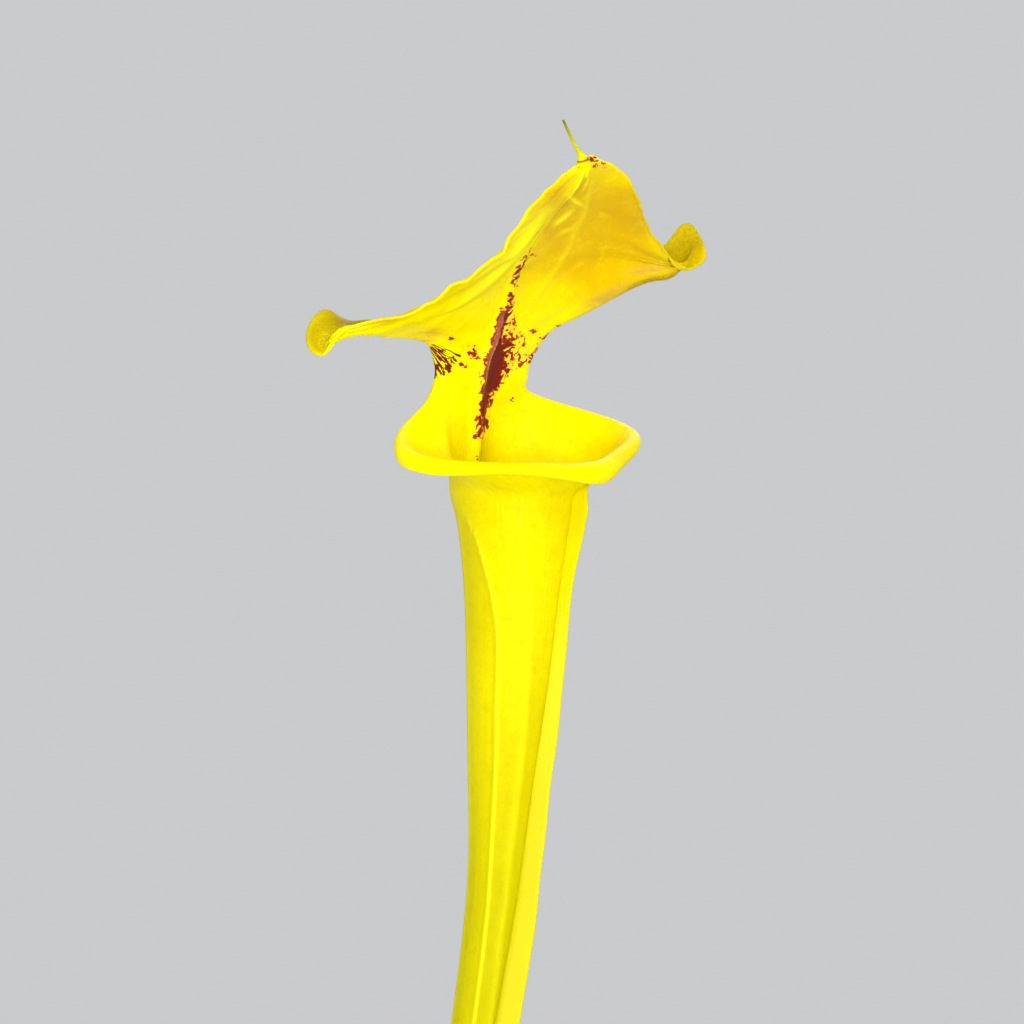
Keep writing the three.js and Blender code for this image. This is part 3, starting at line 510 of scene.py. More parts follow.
# How far the lid's edge is drawn in, by row of the cage.
WAVES_LEFT = [
    (14.5, 0), (15.5, 0.2), (16.05, 0.9), (16.25, 0.3), (16.42, 1.1), (16.57, 0.3), (16.76, -0.4),
    (16.9, 0.3), (17.02, 1.5), (17.2, 0.5), (17.45, 0.1), (17.65, 0.8), (17.85, 1.7), (18, 0.4),
    (18.16, -0.4), (18.35, 0.1), (18.55, 0.6), (18.83, 0), (19.1, 0.9), (19.32, 0.3), (19.5, 0.9),
    (19.7, 0.2), (20, 0.3),
]
WAVES_RIGHT = [
    (14, 0), (15, 0.25), (15.4, -0.1), (15.8, 0.3), (16.3, 0), (16.8, 0.4), (17.3, 0.1), (17.7, 0.5),
    (18.2, 0.2), (18.6, 0.6), (19, 0.2), (19.4, 0.5), (19.7, 0.1), (20, -0.3),
]
# Ovals of painted sheen in dull violet and of painted shade in gold on the lid: strength, x, height, half
# width, half height, turn in degrees.
SHEEN_OVALS = [(1, -11, 536.3, 6.5, 3, 18), (1, 54.5, 557.6, 11, 2.6, 8), (1, 41, 549.3, 13, 2.6, 27)]
GOLD_SHADE = [(0.9, 25.5, 577, 10, 15, -42), (0.95, -25, 541, 14, 4.5, 8), (0.25, -2, 549, 8, 3, 38)]
RIGHT_GOLD_SHADE = [(0.6, 40, 563, 22, 24, 0)]
# The narrow part of the left lobe is lifted by this many millimetres within an oval.
LIFT = [(1.75, -34.2, 533.5, 9.5, 6, 0)]
# The point of the neck's left fold, as x and height, that the dark strokes spread from.
FOLD_X, FOLD_Z = -13.2, 534.5


def marking(x, z, middle):
    """Above 0 where the marking is solid, down to -1 where it ends."""
    wide_r, soft_r, wide_l, soft_l = [read(z, MARKING, i) for i in (1, 2, 3, 4)]
    off = x - middle
    room = np.where(off > 0, wide_r - off, wide_l + off)
    level = np.where(room > 0, room, -0.85 * (np.maximum(-room, 0) / np.where(off > 0, soft_r, soft_l)) ** 2)
    level = np.where((z > 499) & (z < 566), level, -1)
    for fleck_x, fleck_z, half_wide, half_high, strength in FLECKS:
        away = np.hypot((x - fleck_x) / half_wide, (z - fleck_z) / half_high)
        level = np.maximum(level, strength + 0.6 - 1.1 * away)
    return np.clip(level, -1, 1.8)


def ovals(x, z, table):
    """The sum of turned ovals, each full in its middle and 0 at its edge."""
    total = 0
    for strength, middle_x, middle_z, half_wide, half_high, turn in table:
        c, s = math.cos(math.radians(turn)), math.sin(math.radians(turn))
        u, v = (x - middle_x) * c + (z - middle_z) * s, (z - middle_z) * c - (x - middle_x) * s
        total = total + strength * smooth(1, 0, np.hypot(u / half_wide, v / half_high))
    return total


def noise_at(points, scale, shift=0):
    return np.array([noise.noise(Vector(p) * scale + Vector((shift, 0, 0))) for p in points])


def sheet_faces(outer, quads, row, rolled, column):
    """Gives the smooth sheet its relief: both faces, the outer one's normals and values for the colours."""
    normal = normals_of(outer, quads)
    rib = np.flatnonzero(np.abs(column) < 1e-4)
    rib = outer[rib[np.argsort(row[rib])]]
    left_of_crest = near_line(outer, rib[::2])[0] * np.sign(column + 1e-9) - read(outer[:, 2], KEEL)
    off_crest = np.abs(left_of_crest)
    upper = smooth(-6, -2.2, row)
    blade = smooth(1.2, 0, rolled)

    # Relief of the whole sheet.
    wave = 0.9 * noise_at(outer, 0.085) + 0.25 * noise_at(outer, 0.22, 7)
    wave *= smooth(3, 8, row) * np.maximum(blade, smooth(14.5, 16, row)) * smooth(1, 6, off_crest)
    left_edge = read(row, WAVES_LEFT) * smooth(2.2, 5.8, column)
    right_edge = read(row, WAVES_RIGHT) * smooth(2.2, 5.8, -column)
    drawn_in = left_edge[:, None] * [0.6, 0, -0.8] + right_edge[:, None] * [-0.6, 0, -0.8]
    ribs, light, shade = tube_relief(outer)
    out = ribs * smooth(1.5, -1.5, row) + 0.5 * bell(left_of_crest, 1.8) * upper + wave
    lift = ovals(outer[:, 0], outer[:, 2], LIFT) * smooth(2, 3.5, column)
    outer = outer + normal * out[:, None] + drawn_in + lift[:, None] * [0, 0, 1]

    # Relief of the inner face alone: the keel under the midrib and the fine ridges.
    right_side = smooth(1, 0, off_crest / (9 - 5.5 * smooth(-1, 6, row))) ** 1.5
    keel = np.where(left_of_crest < 0, right_side, smooth(2.6, 0, left_of_crest))
    keel *= 3.2 * (1 - 0.8 * smooth(-1, 7, row)) * smooth(15, 10, row) * upper
    keel += upper * (1.5 - smooth(6, 19, row)) * bell(left_of_crest, 0.9)
    ridges = np.zeros(len(outer))
    for line, height, wide in LID_RIDGES:
        off, at = near_line(outer[:, [0, 2]], line)
        ridges += height * bell(off, wide) * np.sin(np.pi * np.clip(at, 0.04, 0.96)) ** 0.5
    ridges *= smooth(2, 4, row) * blade
    normal = normals_of(outer, quads)
    inner = outer - normal * (LEAF_WALL + keel + ridges)[:, None]
    return outer, inner, normal, (left_of_crest, ridges, light, shade)


def closed_sheet(outer, inner, normal, quads):
    """Joins the two faces with a rounded margin and closes the hollow's floor and the foot.

    Gives points, faces, the outer point whose values each point takes, and how far inside each point is.
    """
    count = len(outer)
    walled = outer[quads][:, :, 2].min(1) > HOLLOW_FROM
    faces = [tuple(q) for q in quads] + [tuple(q[::-1] + count) for q in quads[walled]]
    ways = {}
    for q, w in zip(quads.tolist(), walled.tolist()):
        for i in range(4):
            ways[q[i], q[(i + 1) % 4]] = w
    border = [(a, b) for (a, b), w in ways.items() if w and (b, a) not in ways]
    foot = [(a, b) for (a, b), w in ways.items() if not w and (b, a) not in ways]
    floor = [(b + count, a + count) for (a, b), w in ways.items() if w and ways.get((b, a)) is False]
    tangent = np.zeros((count, 3))
    for a, b in border:
        tangent[[a, b]] += outer[b] - outer[a]
    rim = sorted({i for pair in border for i in pair})
    turn_out = np.cross(unit(tangent[rim]), normal[rim])
    margin = (outer[rim] + inner[rim]) / 2 + 0.45 * LEAF_WALL * turn_out
    place = {i: 2 * count + n for n, i in enumerate(rim)}
    for a, b in border:
        faces += [(b, a, place[a], place[b]), (place[b], place[a], a + count, b + count)]
    both, middles = np.concatenate([outer, inner]), []
    for ring, drop in ((foot, 0), (floor, 5)):
        centre = 2 * count + len(rim) + len(middles)
        middles.append(both[[a for a, _ in ring]].mean(0) - [0, 0, drop])
        faces += [(b, a, centre) for a, b in ring]
    source = np.concatenate([range(count), range(count), rim, [foot[0][0], floor[0][0] - count]]).astype(int)
    inside = np.repeat([0, 1, 0.5, 0, 1], [count, count, len(rim), 1, 1])
    return np.concatenate([both, margin, middles]), faces, source, inside


def pitcher_sheet(body):
    points, quads = pitcher_cage()
    target = points.copy()
    for _ in range(FITTING_ROUNDS):
        points = points + target - settled(points, quads)
    for _ in range(SUBDIVISIONS):
        points, quads = subdivided(points, quads)
    p = settled(points, quads)
    row, rolled = p[:, 5], p[:, 6]
    column = np.arctan2(p[:, 4], p[:, 3]) * COLUMNS / (2 * np.pi)
    outer, inner, normal, values = sheet_faces(p[:, :3], quads, row, rolled, column)
    xyz, faces, source, inside = closed_sheet(outer, inner, normal, quads)

    # Values for the material.
    row, rolled, column, left, ridges, light, shade = [v[source] for v in (row, rolled, column, *values)]
    x, z, outside = xyz[:, 0], xyz[:, 2], 1 - inside
    seen = (inside > 0.6) & (row > -3) & ((rolled < 1.6) | (row > 17.5))
    mark = np.where(seen, marking(x, z, read(z, KEEL, 2)), -1)
    spread, way = np.hypot(x - FOLD_X, z - FOLD_Z), np.degrees(np.arctan2(z - FOLD_Z, x - FOLD_X))
    stroke = 0.85 + 0.6 * bell(way + 46, 9) + 0.5 * bell(way + 70, 4)
    stroke *= seen * between(spread, 1.5, 2.6, 9.5, 12.5) * between(way, -82, -74, -24, -12)
    right = smooth(0.5, 4, -left)
    # Painted shade in gold on the lid and on the mouth's inner right side.
    right_gold_shade = ovals(x, z, RIGHT_GOLD_SHADE) + 0.75 * smooth(4, 9, row) * smooth(590, 578, z)
    gold = ovals(x, z, GOLD_SHADE) + right_gold_shade * right
    gold += 0.3 * smooth(2, 6, -left) * between(row, -5, -2, -1, 2) * inside
    # Painted shade on the outer face where the lobes roll back; the look also has fewer veins there.
    lobe = smooth(0.02, 0.5, rolled) * (1 - 0.6 * smooth(1.5, 2, rolled))
    lobe *= between(row, 7, 9, 15, 17) * outside
    # Painted shade on the underside of the right lobe's roll.
    under = smooth(0.2, 0.4, rolled) * between(row, 7, 8.4, 11, 11.8) * right
    # Painted shade on the back face of the left lobe's rolled flap.
    back = smooth(1.1, 1.8, rolled) * between(row, 4.5, 6, 11.4, 13.4) * smooth(1, 2, column) * outside
    back *= 0.6 + 0.4 * smooth(11, 8.5, row)
    upper = smooth(-4.5, -3.5, row) * inside
    # Painted shadow of the keel on its right, low in the mouth.
    dusk = between(-left, 0, 0.4, 0.5, 11) * smooth(519, 498, z) * upper
    theta = column * 2 * np.pi / COLUMNS * (1 - 0.8 * smooth(3, 21, row))
    body.add(
        xyz, faces, light=light * outside, shade=shade * outside, mark=mark, stroke=stroke,
        mauve=ovals(x, z, SHEEN_OVALS) * inside, gold=np.clip(gold, 0, 1), lobe=lobe, blade=smooth(2, 5, row),
        under=under, back=back, dusk=dusk, lines=ridges * inside, midrib=np.where(upper > 0.01, left, 50),
        midrib_here=upper, margin=smooth(1.7, 2, rolled), flow_x=np.cos(theta), flow_y=np.sin(theta),
        flow_z=row * 0.02 + z * 0.0006)


def pitcher_wing(body):
    turn = math.radians(WING_TURN)
    out = math.cos(turn) * FRONT + math.sin(turn) * SIDE
    across = np.array([-out[1], out[0]])
    steps, side = 190, 7
    t = np.linspace(0, 1, side)
    half = WING_ROOT + (WING_EDGE - WING_ROOT) * t**0.6
    half[-1] *= 0.45
    half += 0.16 * bell(t - 0.52, 0.12)
    sunk = 0.7
    rings = []
    for z in np.linspace(WING[0][0], WING[-1][0], steps + 1):
        x, y, r = tube_at(z)
        wave = (0.5 * math.sin(z / 13) + 0.25 * math.sin(z / 4.7 + 1)) * t**1.5
        at = r - sunk + (read(z, WING) + sunk) * t
        a, b = np.append(at, at[::-1]), np.append(wave - half, (wave + half)[::-1])
        flat = np.array([x, y]) + np.outer(a, out) + np.outer(b, across)
        rings.append(np.column_stack([flat, np.full(2 * side, z)]))
    points, faces = loft(rings)
    wing, z = by_side(np.append(t, t[::-1]), steps + 1), points[:, 2]
    pale = smooth(0.05, 0.35, wing) * smooth(470, 425, z)
    flow = {"flow_x": wing * 0.35, "flow_y": 0.3, "flow_z": z * 0.0006}
    body.add(points, faces, mark=-1, midrib=50, pale=pale, wing=wing, **flow)


def pitcher_tip(body):
    sides = 16
    rings = bar(spline(BRISTLE, 8), sides, lambda t, a: 0.05 * np.cos(3 * a + 9 * t))
    points, faces = loft(rings)
    thread = by_ring(len(rings), sides)
    body.add(points, faces, mark=-1, midrib=50, thread=thread, flow_x=1, flow_z=points[:, 2] * 0.01)


# The small leaves.
def leaning(foot, turn, length, straight, lean, steps):
    """Places up a leaf that leans over: share of the length, place, way across and way it faces."""
    a = math.radians(turn)
    out, across = np.array([math.cos(a), math.sin(a), 0]), np.array([-math.sin(a), math.cos(a), 0])
    p = np.array([*foot, FOOT_Z], float)
    for i in range(steps + 1):
        t = i / steps
        tilt = math.radians(max(t - straight, 0) * lean)
        along = out * math.sin(tilt) + np.array([0, 0, math.cos(tilt)])
        yield t, p, across, np.cross(along, across)
        p = p + along * length / steps


def sword(name, foot, turn, length, half, lean, material, seed):
    steps, wide_steps = 84, 17
    s = np.linspace(-1, 1, wide_steps)
    rings = []
    for t, p, across, face in leaning(foot, turn, length, 0.06, lean, steps):
        widening = 0.36 + 0.64 * math.sin(math.pi * min(0.5, t * 0.95))
        wide = half * widening * math.sqrt(max(1 - max(t - 0.35, 0) / 0.66, 0.012))
        wide *= math.sqrt(max(1 - (max(t - 0.93, 0) / 0.07) ** 2, 0.03))
        thick = 0.85 * (1.5 - 0.7 * t) * bell(s * wide, 1.5)
        thick += 0.34 + 0.1 * np.cos(s * 22) ** 2 * (1 - np.abs(s)) + 0.08 * (1 - s**2)
        thick *= np.where(np.abs(s) > 0.99, 0.3, 1)
        cup = wide * 0.16 * np.abs(s) ** 1.4 + 0.35 * np.sin(t * 17 + seed + s) * s**2 * min(1, 3 * t)
        middle, wall = p + np.outer(s * wide, across) + np.outer(cup, face), np.outer(thick, face)
        rings.append(np.concatenate([(middle + wall)[::-1], middle - wall]))
    points, faces = loft(rings)
    wide_at = by_side(np.append(s[::-1], s), steps + 1)
    far = by_ring(steps + 1, 2 * wide_steps)
    body = Body()
    flow = {"flow_x": wide_at * 1.5 + seed, "flow_y": np.abs(wide_at) * 0.2, "flow_z": far * 0.25}
    body.add(points, faces, far=far, **flow)
    body.make(name + "_leaf", material, "sword_leaf", name)


def young(material):
    foot, turn, length, straight, lean, r_foot, r_top = (-5.8, 5.2), 20, 178, 0.08, 16, 3.1, 6.2
    steps, sides = 110, 48
    b = directions(sides)
    rings = []
    for t, p, across, face in leaning(foot, turn, length, straight, lean, steps):
        swell = r_foot + (r_top - r_foot) * min(t / 0.78, 1) ** 2
        close = math.cos((t - 0.78) / 0.22 * 1.42) if t > 0.78 else 1
        flat = 1 - 0.55 * (t - 0.7) / 0.3 if t > 0.7 else 1
        wing = 0.45 * math.sin(math.pi * min(t * 1.05, 1)) * bell(np.minimum(b, 2 * np.pi - b), 0.2)
        lip = -0.05 * bell(t - 0.77 - 0.035 * np.cos(b), 0.006)
        rib = 0.035 * np.cos(9 * b) ** 8 * smooth(0.05, 0.2, t)
        seam = -0.12 * bell(b - np.pi, 0.12) * smooth(0.79, 0.83, t)
        r = swell * close * (1 + wing + lip + rib + seam)
        rings.append(p - np.outer(r * np.cos(b), face) + np.outer(r * flat * np.sin(b), across))
    points, faces = loft(rings)
    far = by_ring(steps + 1, sides)
    flow_x, flow_y = by_side(np.cos(b), steps + 1), by_side(np.sin(b), steps + 1)
    body = Body()
    body.add(points, faces, far=far, flow_x=flow_x, flow_y=flow_y, flow_z=far * 0.2)
    body.make("young_pitcher_leaf", material, "young_leaf", "young_pitcher")


# Bud scales on the stem: root, tip and radius, then their outline as share of the length and of the radius.
SCALES = [
    ((-21.8, -9.6, 98), (-21.6, -8.6, 103.4), 2.6), ((-26.5, -12, 99), (-28.6, -10.9, 106.6), 2.4),
    ((-21, -16, 99), (-18.8, -17, 106.4), 2.3), ((-27, -21, 101), (-27.4, -20.4, 109), 2.6),
    ((-31, -29, 100), (-31.6, -28.6, 107.2), 2.2),
]
SCALE_OUTLINE = [(0, 1), (0.3, 1.04), (0.5, 0.95), (0.7, 0.8), (0.85, 0.6), (0.95, 0.38), (1, 0.2)]


def stem(material):
    body = Body()
    rings = bar(spline(STEM, 12), 40, lambda t, a: 0.05 * np.sin(t * 70) + 0.04 * np.sin(5 * a + 11 * t))
    body.add(*loft(rings), tone=0.3)
    for k, (root, tip, r) in enumerate(SCALES):
        root, rise = np.array(root), np.subtract(tip, root)
        stations = spline([[*(root + rise * t), r * s] for t, s in SCALE_OUTLINE], 5)

        def bumps(t, a):
            return 0.07 * np.cos(2 * a + 5 * t + k) - 0.1 * bell(a - 2 - 2 * t, 0.2)

        body.add(*loft(bar(stations, 26, bumps)), tone=0.6 + 0.08 * k)
    body.make("creeping_stem_bark", material, "stem", "creeping_stem")


# Pot and soil.
POT_SIDES, SOIL_SIDES, SOIL_RINGS = 192, 200, 58
HOLES, HOLE_R, HOLE_SIDES, HOLES_FROM_MIDDLE = 6, 4.5, 32, 31


def outer_radius(z):
    return POT_R + (POT_TOP_R - POT_R) * z / POT_H


def inner_radius(z):
    return outer_radius(z) - POT_WALL


def arc(r, z, size, start, end, steps=5):
    """Rows of a rounded corner about r, z."""
    corner = np.radians(np.linspace(start, end, steps))
    return list(zip(r + size * np.cos(corner), z + size * np.sin(corner)))


def pot(material):
    under, corner, small_corner = POT_H - RIM_H, 1.2, 0.8
    outline = [(POT_R - 6, 0.6), (POT_R - 5, 0), *arc(POT_R - corner, corner, corner, -90, 0)]
    outline += [(outer_radius(z) + bead, z) for z, bead in ((16, 0), (17, 0.5), (18.5, 0.5), (19.5, 0))]
    outline += [(outer_radius(z), z) for z in np.linspace(24, under - 8, 12)]
    outline += [(outer_radius(under) - 0.2, under - 1.4), (outer_radius(under) + 0.6, under - 0.2)]
    outline += [(RIM_R - 1, under)]
    outline += arc(RIM_R - small_corner, under + small_corner, small_corner, -90, 0, 4)
    outline += [(RIM_R - groove, under + up) for up, groove in ((4, 0), (4.5, 0.35), (5.5, 0.35), (6, 0))]
    outline += arc(RIM_R - corner, POT_H - corner, corner, 0, 90)
    outline += arc(POT_TOP_R - POT_WALL + corner, POT_H - corner, corner, 90, 180)
    outline += [(inner_radius(z), z) for z in np.linspace(POT_H - 10, POT_FLOOR + 1.5, 10)]
    outline += [(inner_radius(POT_FLOOR) - 1.4, POT_FLOOR)]
    points, faces = loft([hoop(r, z, POT_SIDES) for r, z in outline])
    points[-2:, :2] = 0  # the middles of its two ends
    body = Body()
    body.add(points, faces)
    made = body.make("nursery_pot", material, "pot_plastic", "pot")
    for i in range(HOLES):
        a = 2 * math.pi * (i + 0.5) / HOLES
        middle = HOLES_FROM_MIDDLE * math.cos(a), HOLES_FROM_MIDDLE * math.sin(a)
        rings = [hoop(HOLE_R, z, HOLE_SIDES, *middle) for z in (-2, POT_FLOOR + 2)]
        cutter = placed("hole", mesh_of("hole", *loft(rings)))
        cut = made.modifiers.new("hole", "BOOLEAN")
        cut.operation, cut.solver, cut.object = "DIFFERENCE", "EXACT", cutter
        bpy.context.view_layer.update()
        whole = bpy.data.meshes.new_from_object(made.evaluated_get(bpy.context.evaluated_depsgraph_get()))
        made.modifiers.clear()
        made.data = whole
        bpy.data.objects.remove(cutter)
    made.modifiers.new("creases", "EDGE_SPLIT").split_angle = math.radians(40)


def soil_height(x, y):
    broad = 0.5 * np.sin(x / 9 + 1) * np.cos(y / 11)
    small = 0.35 * np.sin((x + 2 * y) / 7) - 0.3 * np.cos((2 * x - y) / 8)
    return float(SOIL_LEVEL + SOIL_RELIEF * (broad + small))


# Where leaves stand in the soil: x, y and radius.
STANDING = [(-19, 0, 6.6), (-5.8, 5.2, 3.4), (-33, -1, 4.6), (-19, 14, 4.8), (-9.5, -12, 4.4)]


def from_leaves(x, y):
    """How far a place on the soil lies from the nearest standing leaf."""
    return min(math.hypot(x - cx, y - cy) - r for cx, cy, r in STANDING)


def soil(material):
    """The crumbly top of the soil, with the block that it lies on."""
    rim = inner_radius(SOIL_LEVEL) - 0.3
    block = [(inner_radius(4) - 0.5, 3.4), (inner_radius(50) - 0.4, 50), (rim, SOIL_LEVEL - 3)]
    rings = [hoop(r, z, SOIL_SIDES) for r, z in block]
    for share in 1 - np.arange(SOIL_RINGS) / SOIL_RINGS:
        ring = hoop(rim * share, 0, SOIL_SIDES)
        for p in ring:
            x, y, _ = p
            rough = noise.noise(Vector((x * 0.35, y * 0.35, 3))) * 0.9
            rough += noise.noise(Vector((x * 0.9, y * 0.9, 8))) * 0.55
            heap = 0.9 * bell(max(from_leaves(x, y), 0), 2.5)
            p[2] = soil_height(x, y) - 0.4 + rough + heap - 1.2 * smooth(0.93, 1, share)
        rings.append(ring)
    points, faces = loft(rings)
    points[-1] = [0, 0, soil_height(0, 0)]
    body = Body()
    body.add(points, faces, tone=0.35)
    body.make("soil_bed", material, "soil", "soil")


# An icosahedron: its twelve corners and its twenty faces, each turned outwards.
GOLDEN = (1 + math.sqrt(5)) / 2
ICO = unit(np.array([np.roll([0, s, t * GOLDEN], k) for k in (2, 0, 1) for s in (-1, 1) for t in (-1, 1)]))
CLOSE = np.linalg.norm(ICO[:, None] - ICO, axis=2) < 1.2
ICO_FACES = [
    (i, j, k) if np.linalg.det(ICO[[i, j, k]]) > 0 else (i, k, j)
    for i, j, k in itertools.combinations(range(12), 3) if CLOSE[i, j] and CLOSE[j, k] and CLOSE[i, k]
]


def grains(name, material, count, sizes, flatness, seed):
    """Loose bits that lie on the soil, each an uneven lump sunk a little."""
    rng = np.random.default_rng(seed)
    body, placed_so_far = Body(), 0
    reach = 0.97 * (inner_radius(SOIL_LEVEL) - 1.5)
    while placed_so_far < count:
        r, b = reach * math.sqrt(rng.random()), 2 * math.pi * rng.random()
        x, y = r * math.cos(b), r * math.sin(b)
        size = sizes[0] + (sizes[1] - sizes[0]) * rng.random() ** 2.2
        long, wide, flat = 1 + 0.9 * rng.random(), 0.8 + 0.4 * rng.random(), 0.7 + 0.6 * rng.random()
        shape = np.array([long, wide, flatness * flat])
        turn, tilt = rng.random() * 6.28, rng.normal(0, 0.35)
        lump = ICO * (1 + rng.normal(0, 0.14, 12)[:, None]) * shape * size
        tone = rng.random()
        if from_leaves(x, y) <= size:
            continue
        c, s = math.cos(tilt), math.sin(tilt)
        lump = lump @ np.array([[c, 0, s], [0, 1, 0], [-s, 0, c]])
        c, s = math.cos(turn), math.sin(turn)
        lump = lump @ np.array([[c, s, 0], [-s, c, 0], [0, 0, 1]])
        body.add(lump + [x, y, soil_height(x, y) + 0.25 * size * shape[2]], ICO_FACES, tone=tone)
        placed_so_far += 1
    body.make(name, material, "soil")


# Patches of moss, as x, y and radius, and the faces of one leaflet.
MOSS = [(-44, -22, 11), (30, -38, 9), (38, 26, 12), (-12, 46, 8), (-40, 24, 7), (12, -50, 6)]
LEAFLET = [(0, 2, 1), (0, 1, 4, 3), (1, 2, 5, 4), (2, 0, 3, 5), (3, 4, 6), (4, 5, 6), (5, 3, 6)]


def moss(material):
    """Low cushions of moss by the pot's edge and round the stem, made of small pointed leaflets."""
    rng = np.random.default_rng(11)
    body = Body()
    for px, py, size in MOSS:
        for _ in range(int(size * 9)):
            r, b = size * math.sqrt(rng.random()), 2 * math.pi * rng.random()
            x, y = px + r * math.cos(b), py + r * math.sin(b)
            high = 1.4 + 2.2 * rng.random() * (1 - (r / size) ** 2)
            tone, leaves, spin = rng.random(), int(rng.integers(6, 9)), rng.random() * 6.28
            if math.hypot(x, y) > inner_radius(SOIL_LEVEL) - 3 or from_leaves(x, y) <= 2:
                continue
            root = np.array([x, y, soil_height(x, y) - 0.3])
            for k in range(leaves):
                c = spin + 2 * math.pi * k / leaves
                lean = 0.35 + 0.75 * (k % 2)
                out = np.array([math.cos(c) * lean, math.sin(c) * lean, 1])
                rise = unit(out) * high
                side = np.array([-math.sin(c), math.cos(c), 0]) * 0.34
                front = np.cross(side, unit(out)) * 0.4
                half_up = root + rise * 0.5
                points = [root + side * 0.6, root - side * 0.6, root + front, half_up + side, half_up - side,
                          half_up + front, root + rise + out * [0.5, 0.5, -0.1]]
                body.add(points, LEAFLET, tone=tone)
    body.make("moss_cushions", material, "soil")


# Materials.
def rgb(r, g, b):
    """A screen colour as the linear one that nodes use."""
    screen = (r / 255, g / 255, b / 255)
    return (*(c / 12.92 if c <= 0.04045 else ((c + 0.055) / 1.055) ** 2.4 for c in screen), 1)


class Look:
    """A material of nodes. A node takes numbers, sockets or the names of values that a mesh carries."""

    def __init__(self, name, roughness, specular):
        self.material = bpy.data.materials.new(name)
        self.material.use_nodes = True
        self.tree = self.material.node_tree
        self.shader = self.tree.nodes["Principled BSDF"]
        self.put(self.shader, {"Roughness": roughness, "Specular IOR Level": specular})
        self.colour = None

    def put(self, node, inputs):
        for name, value in inputs.items():
            if isinstance(value, str):
                value = self.node("Attribute", {}, attribute_name=value).outputs["Fac"]
            if isinstance(value, bpy.types.NodeSocket):
                self.tree.links.new(value, node.inputs[name])
            else:
                node.inputs[name].default_value = value

    def node(self, kind, inputs, **settings):
        made = self.tree.nodes.new("ShaderNode" + kind)
        for name, value in settings.items():
            setattr(made, name, value)
        self.put(made, inputs)
        return made

    def math(self, kind, a, b=0.0, clamp=False):
        return self.node("Math", {0: a, 1: b}, operation=kind, use_clamp=clamp).outputs[0]

    def times(self, a, *others):
        for b in others:
            a = self.math("MULTIPLY", a, b)
        return a

    def plus(self, a, b, clamp=False):
        return self.math("ADD", a, b, clamp)

    def vector(self, x, y, z):
        return self.node("CombineXYZ", {0: x, 1: y, 2: z}).outputs[0]

    def vectors(self, kind, a, b):
        return self.node("VectorMath", {0: a, 1: b}, operation=kind).outputs[0]

    def parts(self, vector):
        return self.node("SeparateXYZ", {0: vector}).outputs

    def place(self, sx=1.0, sy=1.0, sz=1.0):
        """The point on the object in millimetres, scaled."""
        where = self.node("TexCoord", {}).outputs["Object"]
        return self.vectors("MULTIPLY", where, (sx / MM, sy / MM, sz / MM))

    def noise(self, where, scale, detail=2.0, roughness=0.5, distortion=0.0):
        inputs = {"Vector": where, "Scale": scale, "Detail": detail, "Roughness": roughness}
        return self.node("TexNoise", inputs | {"Distortion": distortion}).outputs["Fac"]

    def span(self, value, low, high, to_low=0.0, to_high=1.0):
        inputs = {"Value": value, "From Min": low, "From Max": high, "To Min": to_low, "To Max": to_high}
        return self.node("MapRange", inputs, clamp=True).outputs[0]

    def bell(self, value, middle, wide):
        """1 where the value is at the middle, falling off to both sides."""
        off = self.math("DIVIDE", self.math("SUBTRACT", value, middle), wide)
        return self.math("EXPONENT", self.times(off, off, -1.0))

    def mix(self, factor, a, b, blend="MIX"):
        return self.node("Mix", {0: factor, 6: a, 7: b}, data_type="RGBA", blend_type=blend).outputs[2]

    def paint(self, factor, towards, share=None):
        """Covers the colour so far with a screen colour or a socket's, by the factor and a share of it."""
        if share is not None:
            factor = self.math("MULTIPLY", factor, share, True)
        self.colour = self.mix(factor, self.colour, rgb(*towards) if isinstance(towards, tuple) else towards)

    def darken(self, factor, share):
        self.colour = self.mix(factor, self.colour, (share, share, share, 1), "MULTIPLY")

    def glow(self, weight, scale=0.003):
        """Lets light through a little, as a leaf does."""
        self.put(self.shader, {"Subsurface Weight": weight, "Subsurface Scale": scale})
        self.put(self.shader, {"Subsurface Radius": (1.0, 0.75, 0.1)})

    def finish(self, bump=None, strength=0.3, distance=0.0004, roughness=None):
        self.put(self.shader, {"Base Color": self.colour})
        if bump is not None:
            made = self.node("Bump", {"Height": bump, "Strength": strength, "Distance": distance})
            self.put(self.shader, {"Normal": made.outputs[0]})
        if roughness is not None:
            self.put(self.shader, {"Roughness": roughness})
        return self.material


